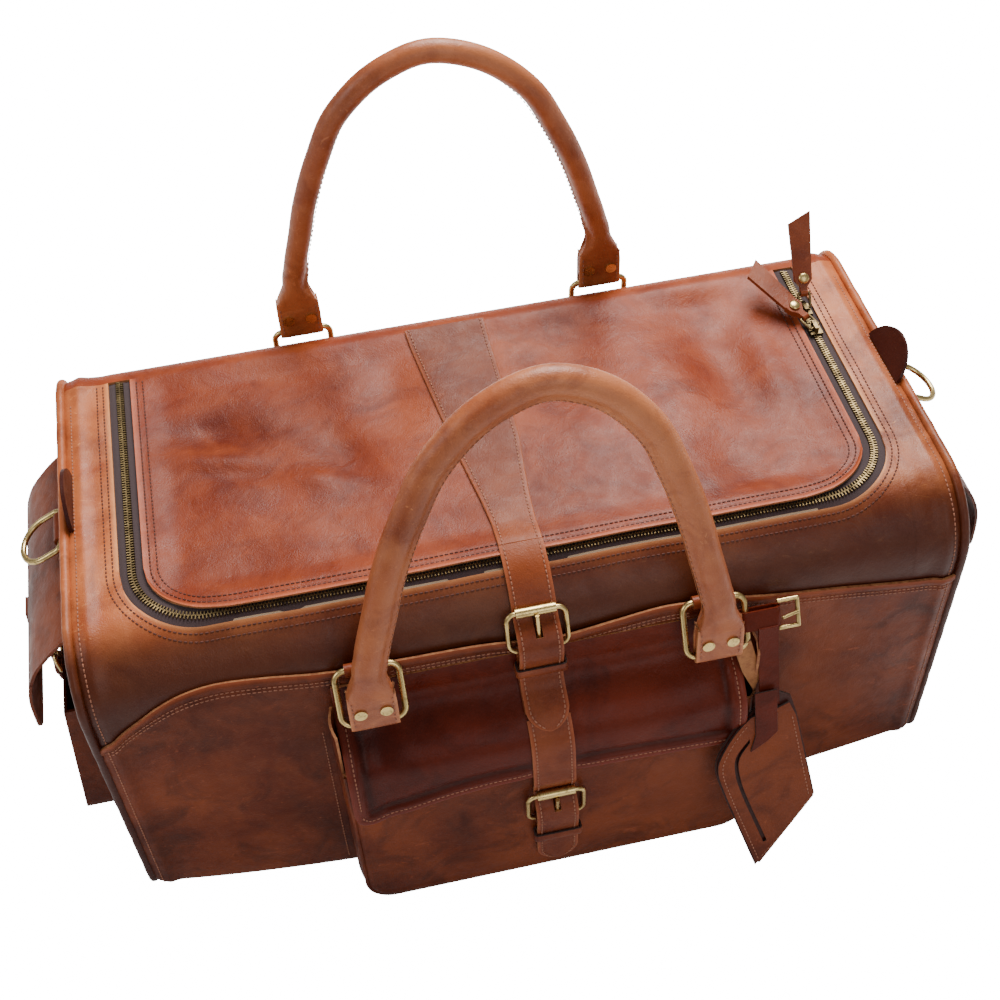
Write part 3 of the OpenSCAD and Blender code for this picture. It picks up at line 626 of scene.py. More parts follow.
def rim_y(x, o):
    """Front edge of the leather beside the zip at offset o, for |x| inside it."""
    ax = np.abs(x)
    r = ZIP_R + o
    d = np.clip(ax - ZIP_CX, 0, r)
    return ZIP_CY - np.sqrt(np.maximum(r * r - d * d, 0))


def dense(n, ends):
    """n steps from 0 to 1, closer together near both."""
    t = np.linspace(0, 1, n)
    return (1 - ends) * t + ends * (0.5 - 0.5 * np.cos(math.pi * t))


def panel(lo, s_hi, n, off, fade):
    """Points, normals and worn edge of a body panel as columns from lo to s_hi(x)."""
    X = np.repeat(xs_all[:, None], n, axis=1)
    hi = s_hi(xs_all)[:, None]
    SS = lo + (hi - lo) * dense(n, 0.75)[None, :]
    return *bag(X, SS, off(X, SS)), np.exp(-((hi - SS) / fade) ** 2) * 0.9


def columns(*stops):
    """Columns on both sides of x = 0, from runs of (start, end, count)."""
    out = []
    for a, b, n in stops:
        out += list(np.linspace(a, b, n, endpoint=False))
    half = np.array(out + [stops[-1][1]])
    return np.concatenate([-half[:0:-1], half])


xs_all = columns((0, 200, 34), (200, 246, 16), (246, 248, 1), (248, 256, 4), (256, 264, 5), (264, 283, 6),
                 (283, 297.2, 9))

# ---- front panel with its two side strips
rim_out = lambda x: s_of_y(np.where(np.abs(x) < 264, rim_y(x, 8.0), ZIP_CY))
P, N, ef = panel(s_of_z(22), rim_out, 90, lambda x, s: 0, 2.2)
ef = np.where(np.abs(xs_all)[:, None] < 262, ef, 0)
nf = P.shape[1]
faces = quads(len(xs_all), nf)
V, NN, EF = [P.reshape(-1, 3)], [N.reshape(-1, 3)], [ef.reshape(-1)]
count = P.shape[0] * nf
for sign in (-1, 1):
    cols = [i for i, x in enumerate(xs_all) if sign * x >= 263.99]
    ys = np.linspace(ZIP_CY, HINGE, 60)[1:]
    XX = np.repeat(xs_all[cols][:, None], len(ys), axis=1)
    p, nn = bag(XX, s_of_y(ys))
    start = count
    for a in range(len(cols)):
        row = [cols[a] * nf + nf - 1] + [start + a * len(ys) + k for k in range(len(ys))]
        if a:
            faces += [(prev[k], prev[k + 1], row[k + 1], row[k]) for k in range(len(ys))]
        prev = row
    V.append(p.reshape(-1, 3))
    NN.append(nn.reshape(-1, 3))
    EF.append((np.exp(-((np.abs(XX) - 264) / 2.2) ** 2) * 0.9).reshape(-1))
    count += p.shape[0] * p.shape[1]
V, NN, EF = np.vstack(V), np.vstack(NN), np.concatenate(EF)
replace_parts(thick("body_front", V, NN, 2.4, [BODY, TAN], "bag", faces=outward(V, NN, faces),
                  edge_fade=EF), "front_panel")

# ---- lid and back panel in one skin that folds at the hinge
LID_X = 248                                  # half the width of the lid's leather
lid_cols = [i for i, x in enumerate(xs_all) if abs(x) <= LID_X + 0.01]
s_hinge = float(s_of_y(HINGE + 0.001))
ss_back = np.concatenate([[s_hinge], np.linspace(s_hinge, S_WALL, 16)[1:], np.linspace(S_WALL, S_END - 4, 26)[1:]])
p, nn = bag(xs_all[:, None], ss_back)
nb = len(ss_back)
faces = quads(len(xs_all), nb)
xl = xs_all[lid_cols]
nl = 96
lo = s_of_y(rim_y(xl, lid_edge(xl)))[:, None]
SL = lo + (s_hinge - lo) * dense(nl, 0.6)[None, :]
XL = np.repeat(xl[:, None], nl, axis=1)
from_edge = np.minimum(SL - lo, LID_X - np.abs(XL))
lip = 0.9 * hump(from_edge, 2.2) - 0.5 * hump(from_edge - 4.5, 1.2)
lip = lip - 0.4 * hump(from_edge - 9.0, 1.2) + 0.9 * tucked(XL) * hump(SL - lo, 7.0)
P, N = bag(XL, SL, lip)
start = len(xs_all) * nb
V = np.vstack([p.reshape(-1, 3), P[:, :-1].reshape(-1, 3)])
NN = np.vstack([nn.reshape(-1, 3), N[:, :-1].reshape(-1, 3)])
rows = [[start + a * (nl - 1) + k for k in range(nl - 1)] + [lid_cols[a] * nb] for a in range(len(lid_cols))]
for a in range(1, len(rows)):
    faces += [(rows[a - 1][k], rows[a][k], rows[a][k + 1], rows[a - 1][k + 1]) for k in range(nl - 1)]
EF = np.concatenate([np.zeros(len(xs_all) * nb), (0.9 * hump(from_edge, 2.4))[:, :-1].reshape(-1)])
lid = thick("body_lid", V, NN, 2.4, [LID, TAN], None, faces=outward(V, NN, faces), edge_fade=EF)
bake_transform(lid)
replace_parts(lid, "lid_panel", "back_panel")

# ---- base
p1, n1 = bag(xs_all[:, None], np.linspace(0, s_of_z(22), 30))
p2, n2 = bag(xs_all[:, None], np.linspace(S_END - 4, S[-1], 30))
P = np.concatenate([p2, p1[:, 1:]], axis=1)
N = np.concatenate([n2, n1[:, 1:]], axis=1)
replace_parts(thick("body_base", P, N, 2.4, [SHADED_FRONT, TAN], "bag"), "base_panel")

# ---- shaped front overlay
EDGE = np.array([(-298, 192), (-289, 201), (-254, 226.5), (-222, 235.5), (-181, 234.0), (-140, 229.0), (-97, 229.5),
                 (-40, 227.5), (10, 224), (50, 227), (88, 231), (123, 228), (160, 222), (195, 217.5), (240, 210),
                 (288, 203), (298, 202)], dtype=float)
edge_curve = spline(EDGE, 300)
edge_s = lambda x: s_of_z(np.interp(x, edge_curve[:, 0], edge_curve[:, 1]))


def lift(X, SS):
    band = edge_s(X) - SS
    over = smoothstep(142, 128, np.abs(X)) * smoothstep(17, 9, band)
    fold = 1.0 * hump(band - 3.0, 2.6) - 0.5 * hump(band - 7.6, 1.3)
    return 2.3 + 2.0 * over + fold


P, N, ef = panel(s_of_z(12), edge_s, 110, lift, 2.4)
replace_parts(thick("body_overlay", P, N, 2.2, [SHADED_FRONT, TAN], "bag", edge_fade=ef * 0.8),
            "front_overlay")

# ---- end panels, piping
def outline(inset, n=260):
    p = along(np.linspace(0, S[-1], n, endpoint=False), S, SIDE)
    return p + inset * right_of(p, closed=True)


for side, sg in (("left", -1), ("right", 1)):
    rim = outline(4.4)
    centre = np.array([0.0, 128.0])
    ks = np.array([0.04, 0.15, 0.3, 0.45, 0.58, 0.7, 0.8, 0.87, 0.92, 0.96, 0.985, 1.0])
    P = np.zeros((len(ks), len(rim), 3))
    for i, k in enumerate(ks):
        q = centre + (rim - centre) * k
        x = 297.8 + 2.2 * (1 - k ** 3) + 1.0 * rumple(q[:, 0], q[:, 1], 120, 11 + sg) * (1 - k ** 4)
        P[i] = np.stack([sg * x, q[:, 0], q[:, 1]], axis=1)
    N = grid_normals(P, np.array([sg, 0, 0]))
    ob = thick("body_end_" + side, P, N, 2.0, [BODY, TAN], "bag", wrap_v=True)
    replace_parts(ob, "end_panel_" + side)
    line = outline(0.9, 300)
    bead = np.stack([np.full(len(line), sg * 299.2), line[:, 0], line[:, 1]], axis=1)
    bead[:, 2] = np.maximum(bead[:, 2], 3.4)
    bead[:, 1] = np.clip(bead[:, 1], -HALF + 0.4, HALF - 0.4)
    size = 3.3 + 0.18 * np.sin(np.arange(len(line)) * 0.9) * np.sin(np.arange(len(line)) * 0.23)
    ob = tube("piping_cord_" + side, bead, size, BODY, "bag", closed=True)
    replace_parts(ob, "piping_" + side)

# ---- lining, seen when the lid is open
ss = np.linspace(0, S[-1], 220)
xs = np.linspace(-291, 291, 90)
XX, SB = np.meshgrid(xs, ss, indexing="ij")
P, N = bag(XX, SB, -3.4 - 0.8 * (1 + rumple(XX, SB, 60, 21)))
open_top = (SB > s_of_y(-ZIP_Y - 6)) & (SB < s_of_y(HINGE - 2)) & (np.abs(XX) < ZIP_X + 10)
fs = [f for f in quads(len(xs), len(ss)) if not all(open_top.reshape(-1)[i] for i in f)]
used = sorted({i for f in fs for i in f})
remap = {v: k for k, v in enumerate(used)}
fs = [tuple(remap[i] for i in f) for f in fs]
V, NN = P.reshape(-1, 3)[used], N.reshape(-1, 3)[used]
ob = thick("lining_wall", V, NN, 0.7, [LINING, LINING], "bag", faces=outward(V, NN, fs), bevel=0)
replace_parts(ob, "lining")
for side, sg in (("left", -1), ("right", 1)):
    rim = outline(5.0)
    P = np.stack([np.stack([np.full(len(rim), sg * (292.0 - 2 * (1 - k))), rim[:, 0] * k,
                            128 + (rim[:, 1] - 128) * k], axis=1) for k in (0.05, 0.5, 0.85, 1.0)])
    thick("lining_end_" + side, P, grid_normals(P, np.array([-sg, 0, 0])), 0.7, [LINING, LINING], "bag",
          wrap_v=True, bevel=0)

# ---------------- zip
for name, o1, o2, body, node in (("tape_body", 0.4, 14.5, "bag", "zip_tape_body"),
                                 ("tape_lid", -14.5, -0.4, "lid", "zip_tape_lid")):
    q = np.linspace(0, ZIP_LEN, 420)
    o = np.linspace(o1, o2, 7)
    P = np.zeros((len(q), len(o), 3))
    N = np.zeros_like(P)
    for j, oo in enumerate(o):
        dip = 2.4 * tucked(*plan(q, oo))
        P[:, j], N[:, j] = zip_line(q, oo, -2.0 + 0.9 * math.exp(-(oo / 4.0) ** 2) - dip)
    ob = thick("zip_" + name, P, N, 0.7, [TAPE, TAPE], body, bevel=0)
    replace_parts(ob, node)

TOOTH = np.array([(-0.55, -0.5, -0.8), (0.55, -0.5, -0.8), (0.5, 3.0, -0.8), (-0.5, 3.0, -0.8),
                  (-0.45, -0.4, 0.7), (0.45, -0.4, 0.7), (0.42, 2.5, 0.8), (-0.42, 2.5, 0.8)])
BOX = [(0, 3, 2, 1), (4, 5, 6, 7), (0, 1, 5, 4), (1, 2, 6, 5), (2, 3, 7, 6), (3, 0, 4, 7)]
for sign, body, node, phase in ((1, "bag", "zip_teeth_body", 0.0), (-1, "lid", "zip_teeth_lid", 0.5)):
    q = (np.arange(int(ZIP_LEN / 2.3) - 1) + 0.5 + phase) * 2.3
    sunk = -0.7 - 2.4 * tucked(*plan(q, 0.0))
    C, N = zip_line(q, 0.0, sunk)
    T = unit(zip_line(q + 0.5, 0.0, sunk)[0] - C)
    O = unit(np.cross(N, T))
    out = unit(zip_line(q, 1.0, sunk)[0] - C)
    O = np.where(np.sum(O * out, axis=1, keepdims=True) < 0, -O, O) * sign
    V = (C[:, None] + TOOTH[None, :, 0, None] * T[:, None] + TOOTH[None, :, 1, None] * O[:, None]
         + TOOTH[None, :, 2, None] * N[:, None]).reshape(-1, 3)
    fs = [tuple(8 * i + k for k in f) for i in range(len(q)) for f in BOX]
    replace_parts(mesh("zip_teeth_" + body, V, fs, [OLD_BRASS], body, sharp=30), node)

stitches("stitch_rim", [zip_line(np.linspace(2, ZIP_LEN - 2, 420), o, 0.05) for o in (12.0, 16.5)], "bag",
         DARK_THREAD)
q = np.linspace(3, ZIP_LEN - 3, 420)
stitches("stitch_lid", [zip_line(q, lid_edge(*plan(q, 0.0)) - d) for d in (4.5, 9.0)], "lid",
         DARK_THREAD)
runs = []
for d in (8.0, 10.6):
    for a, b in ((-290, -136), (-102, -20), (18, 102), (136, 290)):
        x = np.linspace(a, b, 90)
        s = edge_s(x) - d
        runs.append(bag(x, s, lift(x, s) + 0.05))
for x in (-153.0, 153.0):
    s = s_of_z(np.linspace(20, 168, 80))
    runs.append(bag(np.full(80, x), s, 2.35))
for sg in (-1, 1):
    s = np.linspace(S0 - 10, s_of_y(100), 260)
    runs.append(bag(np.full(260, sg * 291.5), s, np.where(s < edge_s(np.full(260, sg * 291.5)), 2.3, 0.0)))
stitches("stitch_overlay", runs, "bag", THREAD)


# ---------------- straps
def path_strap(name, line, hw, t, slot_z):
    """A strap whose middle runs along a [y, z] line, hw to each side of it, with a slot between two heights."""
    n = len(line)
    out2 = right_of(line)
    u = np.array([-1, -0.94, -0.82, -0.5, -0.16, 0, 0.16, 0.5, 0.82, 0.94, 1])
    P = np.zeros((len(u), n, 3))
    for i, k in enumerate(u):
        P[i, :, 0] = STRAP_X + k * hw
        P[i, :, 1:] = line + out2 * (t / 2 - 0.35 * abs(k) ** 8)
    N = np.zeros_like(P)
    N[..., 1:] = out2
    ef = np.exp(-(((1 - np.abs(u))[:, None] * hw[None, :]) / 1.4) ** 2)
    fs = [f for f in quads(len(u), n) if not (f[0] // n in (4, 5) and slot_z[0] < line[f[0] % n, 1] < slot_z[1])]
    return thick(name, P, N, t, [STRAP, TAN], None, faces=fs, edge_fade=ef * 0.7)


def edge_runs(line, hw, t, inset=3.0):
    """Seams along both edges of such a strap, inset from them."""
    out2 = right_of(line)
    runs = []
    for k in (-1, 1):
        x = STRAP_X + k * np.maximum(hw - inset, 0.0)
        P = np.column_stack([x, line + out2 * (t / 2)])
        runs.append((P[2:-3], np.column_stack([0 * x, out2])[2:-3]))
    return runs


def tip_width(line, w=15.0, tip=17):
    """Half width along a strap that ends in a rounded point."""
    s = lengths(line)
    u = np.clip((s - (s[-1] - tip)) / tip, 0, 1)
    return w * np.maximum((1 - u ** 2.1) ** 0.62, 0.06)


# lid strap: wide at the back, narrow at the front
ys = np.linspace(HINGE - 0.4, -102.6, 120)
left_e = np.interp(-ys, [-118.5, 18, 60, 81, 103], [-42, -26, -19.5, -17, -17])
right_e = np.interp(-ys, [-118.5, -68, 5, 58, 81, 103], [19, 19.5, 19, 14, 13, 13])
u = np.array([0, 0.03, 0.09, 0.25, 0.5, 0.75, 0.91, 0.97, 1.0])
XX = left_e[None, :] + (right_e - left_e)[None, :] * u[:, None]
P, N = bag(XX, s_of_y(ys), 2.6 - 0.35 * np.abs(2 * u - 1)[:, None] ** 8)
ef = np.exp(-((np.minimum(u, 1 - u)[:, None] * (right_e - left_e)[None, :]) / 1.4) ** 2) * 0.7
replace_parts(thick("strap_lid", P, N, 2.4, [STRAP, TAN], "lid", edge_fade=ef), "lid_strap")
runs = [bag(e, s_of_y(ys), 2.62) for e in (left_e + 3.2, right_e - 3.2)]
stitches("stitch_strap_lid", runs, "lid", THREAD)

arc_pts = [(Y_FRONT - (53.35 + a / 70) * sind(a), Z_FRONT + (53.35 + a / 70) * cosd(a)) for a in np.arange(7.2, 55, 5)]
tongue_line = spline(arc_pts + [(-140.6, 246.4), (-146.0, 241.0), (-154.8, 236.6), (-160.8, 230), (-162.2, 222.5),
                                (-161.6, 215), (-159.5, 207), (-158.4, 200), (-159.2, 193.5), (-163.6, 187.6),
                                (-171, 182.6), (-180.8, 176), (-187.8, 169.8)], 150)
hw = tip_width(tongue_line)
ob = path_strap("strap_tongue", tongue_line, hw, 2.4, (235, 246))
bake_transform(ob)
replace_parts(ob, "lid_tongue")
ob = stitches("stitch_tongue", edge_runs(tongue_line, hw, 2.45), None, THREAD)
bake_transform(ob)


def keeper(name, z0, y_back, y_front):
    """A closed loop of strap leather round the strap."""
    half_w, height, r = 17.6, 8.0, 2.5
    p = np.array([(STRAP_X + cx + r * cosd(g), cy + r * sind(g))
                  for cx, cy, s in ((half_w - r, y_front + r, -90), (half_w - r, y_back - r, 0),
                                    (-half_w + r, y_back - r, 90), (-half_w + r, y_front + r, 180))
                  for g in np.linspace(s, s + 90, 7)])
    out = right_of(p, closed=True)
    zs = np.linspace(0, height, 7)
    crown = 0.5 * np.sin(math.pi * zs / height)
    P = np.zeros((len(zs), len(p), 3))
    for i, z in enumerate(zs):
        P[i, :, :2] = p + out * crown[i]
        P[i, :, 2] = z0 + z
    N = np.zeros_like(P)
    N[..., :2] = out
    return thick(name, P, N, 1.7, [STRAP, DARK_EDGE], "bag", wrap_v=True)


ob = keeper("keeper_top", 201, -153.1, -163.3)
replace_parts(ob, "keepers")
keeper("keeper_low", 56, -198.6, -207.1)

# ---------------- front pocket
PW, PR, P_LOW, P_TOP = 145, 22, 7, 158      # half width, corner radius, lower and upper end
PC, PZ = PW - PR, P_LOW + PR                # centre of a corner


def wall_y(z):
    return -200.2 + (np.asarray(z, dtype=float) - P_LOW) * 14.2 / 151


def rounded(d, r):
    """How far a corner of radius r cuts in, d millimetres along from where it would be square."""
    k = np.clip(r - d, 0, r)
    return r - np.sqrt(r * r - k * k)


px = columns((0, 118, 40), (118, 139, 16), (139, PW, 8))
lo = P_LOW + rounded(PW - np.abs(px), PR)
Z = lo[:, None] + (P_TOP - lo[:, None]) * dense(64, 0.7)[None, :]
X = np.repeat(px[:, None], 64, axis=1)
corner = (np.abs(X) > PC) & (Z < PZ)
rim = np.where(corner, PR - np.hypot(np.abs(X) - PC, Z - PZ), np.minimum(PW - np.abs(X), Z - P_LOW))
roll = rounded(np.maximum(rim, 0), 7.0)
puff = 2.6 * (1 - (X / PW) ** 2) * np.sin(math.pi * np.clip((Z - P_LOW) / 151, 0, 1)) ** 0.7
pleat = 0.9 * rumple(X, Z, 85, 31) * smoothstep(0, 22, rim) + 0.7 * hump(rim - 6.0, 2.0)
P = np.stack([X, wall_y(Z) + roll - puff - pleat, Z], axis=-1)
ob = thick("pocket_wall", P, grid_normals(P, np.array([0, -1, 0])), 1.9, [SHADED_FRONT, TAN], "bag")
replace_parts(ob, "pocket_front")


FLAP_LINE = spline([(-151.6, 217), (-151.9, 203), (-153, 194), (-158, 186), (-167, 179), (-177, 172.5), (-184.7, 165.4),
                    (-189.5, 158), (-192, 148), (-193.4, 134), (-194.2, 119.5), (-194.7, 108)], 300)
FLAP_S = lengths(FLAP_LINE)


def contour(inset):
    """The pocket's edge from its left top end round to the right, as (x, z)."""
    r = PR - inset
    a = np.linspace(0, ARC, 16)
    left = [(-PW + inset, z) for z in np.linspace(P_TOP, PZ, 30)]
    bend = [(-PC - r * math.cos(t), PZ - r * math.sin(t)) for t in a[1:]]
    flat = [(x, P_LOW + inset) for x in np.linspace(-PC, PC, 50)[1:]]
    other = [(PC + r * math.sin(t), PZ - r * math.cos(t)) for t in a[1:]]
    return np.array(left + bend + flat + other + [(PW - inset, z) for z in np.linspace(PZ, P_TOP, 30)[1:]])


c = contour(0.0)
back_y = bag(c[:, 0], s_of_z(np.maximum(c[:, 1], 19)), 2.2)[0][:, 1]
front_y = wall_y(c[:, 1]) + 7.0
ks = np.linspace(0, 1, 9)
out = right_of(c)
P = np.zeros((len(c), len(ks), 3))
for j, k in enumerate(ks):
    dip = 2.4 * math.sin(math.pi * k) * smoothstep(0, 26, np.abs(c[:, 1] - P_LOW) + 20 * (np.abs(c[:, 0]) > 140))
    P[:, j, 0] = c[:, 0] + out[:, 0] * dip
    P[:, j, 1] = front_y + (back_y + 0.6 - front_y) * k
    high = np.interp(-P[:, j, 1], -FLAP_LINE[::-1, 0], FLAP_LINE[::-1, 1]) - 3.0
    rise = np.clip((c[:, 1] - 120) / 38, 0, 1) * (np.abs(c[:, 0]) > 140)
    P[:, j, 2] = c[:, 1] + out[:, 1] * dip + rise * np.clip(high - P_TOP, 0, 40)
N = np.zeros_like(P)
N[..., 0], N[..., 2] = out[:, 0][:, None], out[:, 1][:, None]
ob = thick("pocket_side", P, grid_normals(P, N), 1.8, [SHADED_FRONT, TAN], "bag", bevel=0)
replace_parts(ob, "pocket_gusset")
seam = contour(1.9)
y = wall_y(seam[:, 1]) + float(rounded(1.9, 7.0)) - 0.4
tube("pocket_seam", even(np.stack([seam[:, 0], y, seam[:, 1]], axis=1), 200), 1.5, SHADED_FRONT, "bag",
     sides=8)

# ---- flap of the front pocket, from under the overlay's edge to its free edge
FX0, FX1 = -142.0, 135.0
LOW = spline([(-137, 110.5), (-120, 112), (-95, 119.5), (-60, 126), (-20, 127.5), (60, 125), (133, 120)], 160)


def flap_end(x, inset=0.0):
    x = np.asarray(x, dtype=float)
    z = np.interp(x, LOW[:, 0], LOW[:, 1])
    d = np.minimum(x - FX0, FX1 - x)
    z = z + rounded(np.maximum(d - inset, 0), 17.0 - inset)
    return np.interp(-z, -FLAP_LINE[:, 1], FLAP_S) - inset


def flap_line(s):
    return np.array([np.interp(s, FLAP_S, FLAP_LINE[:, 0]), np.interp(s, FLAP_S, FLAP_LINE[:, 1])])


def flap_shape(x, s):
    x, s = np.broadcast_arrays(np.asarray(x, dtype=float), np.asarray(s, dtype=float))
    y, z = flap_line(s)
    ty, tz = flap_line(s + 1) - flap_line(s - 1)
    n = np.hypot(ty, tz)
    side = np.minimum(x - FX0, FX1 - x)
    edge = np.minimum(side, flap_end(x) - s)
    free = smoothstep(24, 60, s)
    off = (1.5 * smoothstep(9.5, 6.5, edge) * free - 1.4 * free * hump(edge - 13, 4.5) - 0.5 * hump(edge - 4.6, 0.9)
           - 0.6 * smoothstep(1.2, 0, edge) + free * (2.6 * hump(x - FX0, 10.0) - 2.2 * hump(x - FX0 - 24, 10.0))
           + free * 1.2 * hump(FX1 - x, 9.0) + free * 0.9 * rumple(x, s, 70, 12) * smoothstep(4, 30, edge)
           - 2.2 * hump(s - 30, 14) * hump(x + 75, 42) - 1.6 * hump(s - 34, 12) * hump(x - 62, 34)
           + 1.8 * hump(s - 62, 16) * (1 - (x / 136) ** 2))
    off = off * (1 - np.exp(-((x - STRAP_X) / 19.0) ** 4))
    return np.stack([x, y + off * tz / n, z - off * ty / n], axis=-1)


def flap_pt(x, s, off=0.0):
    P = flap_shape(x, s)
    e = 0.8
    N = unit(np.cross(flap_shape(x + e, s) - flap_shape(x - e, s), flap_shape(x, s - e) - flap_shape(x, s + e)))
    return P + np.asarray(off) * N, N


fx = np.concatenate([np.linspace(FX0, -118, 22, endpoint=False), np.linspace(-118, 116, 84, endpoint=False),
                     np.linspace(116, FX1, 18)])
X = np.repeat(fx[:, None], 100, axis=1)
SF = flap_end(fx)[:, None] * (1 - (1 - np.linspace(0, 1, 100)) ** 1.35)[None, :]
P, N = flap_pt(X, SF, 1.1)
edge = np.minimum(np.minimum(X - FX0, FX1 - X), flap_end(fx)[:, None] - SF)
# painted shade: the shade attribute paints a dark line along the valley about 12 mm inside the flap's raised border
ob = thick("flap_leather", P, N, 2.2, [FLAP, TAN], None,
           edge_fade=0.5 * hump(edge, 3.4) + 0.22 * smoothstep(10.0, 8.0, edge),
           attrs={"shade": 0.75 * hump(edge - 12.0, 3.2)})
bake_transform(ob)
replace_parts(ob, "flap_root", "pocket_flap")
inset = 4.6
runs = [flap_pt(x, np.linspace(20, float(flap_end(x)) - 17, 120), 1.15) for x in (FX0 + inset, FX1 - inset)]
xb = np.linspace(FX0 + inset + 0.3, FX1 - inset - 0.3, 320)
xb = xb[(xb < STRAP_X - 15.5) | (xb > STRAP_X + 15.5)]
sb = flap_end(xb, inset)
k = int(np.sum(xb < STRAP_X))
runs += [flap_pt(xb[:k], sb[:k], 1.15), flap_pt(xb[k:], sb[k:], 1.15)]
ob = stitches("stitch_flap", runs, None, THREAD)
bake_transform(ob)

# ---- strap of the flap down to its tip
k = (FLAP_LINE[:, 1] < 172) & (FLAP_LINE[:, 1] > 121)
upper = (FLAP_LINE + 2.45 * right_of(FLAP_LINE))[k]
flap_strap_line = spline(list(map(tuple, upper[::12])) +
                         [(-196.9, 118.9), (-195.9, 113), (-193.4, 106), (-195.4, 100.5), (-201.8, 95.0), (-205.2, 87),
                          (-205.3, 78), (-204.4, 70), (-203.4, 62), (-203.2, 48), (-203.6, 23)], 200)
hw = tip_width(flap_strap_line)
ob = path_strap("strap_flap", flap_strap_line, hw, 2.3, (91, 102.5))
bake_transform(ob)
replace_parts(ob, "flap_strap", "flap_tongue")
ob = stitches("stitch_flap_strap", edge_runs(flap_strap_line, hw, 2.35), None, THREAD)
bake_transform(ob)


# ---------------- handles
def turned(lean, y0, z0):
    """Direction and middle of a handle's line at each length w above its ring bar."""
    w = np.linspace(-12, 260, 1400)
    ang = np.radians(lean[0] + (lean[1] - lean[0]) * smoothstep(38, 60, w))
    dw = w[1] - w[0]
    Y, Zv = np.cumsum(np.sin(ang)) * dw, np.cumsum(np.cos(ang)) * dw
    Y, Zv = Y - np.interp(0, w, Y) + y0, Zv - np.interp(0, w, Zv) + z0

    def at(x, b, v):
        a = np.interp(v, w, ang)
        return np.stack(np.broadcast_arrays(x, np.interp(v, w, Y) + b * np.cos(a),
                                            np.interp(v, w, Zv) - b * np.sin(a)), axis=-1)
    return at


PHI = np.radians(np.concatenate([[0, 5.5, 8.5, 12, 17, 22, 28], np.linspace(38, 322, 32),
                                 [332, 338, 343, 348, 351.5, 354.5]]))
HANDLE_X = 117                               # half the distance between a handle's rings
HALF_WIDTH = [(0, 117), (44, 117), (60, 114), (86, 107), (117, 98), (149, 85.5), (180, 69.5), (203, 47.5), (216, 25)]


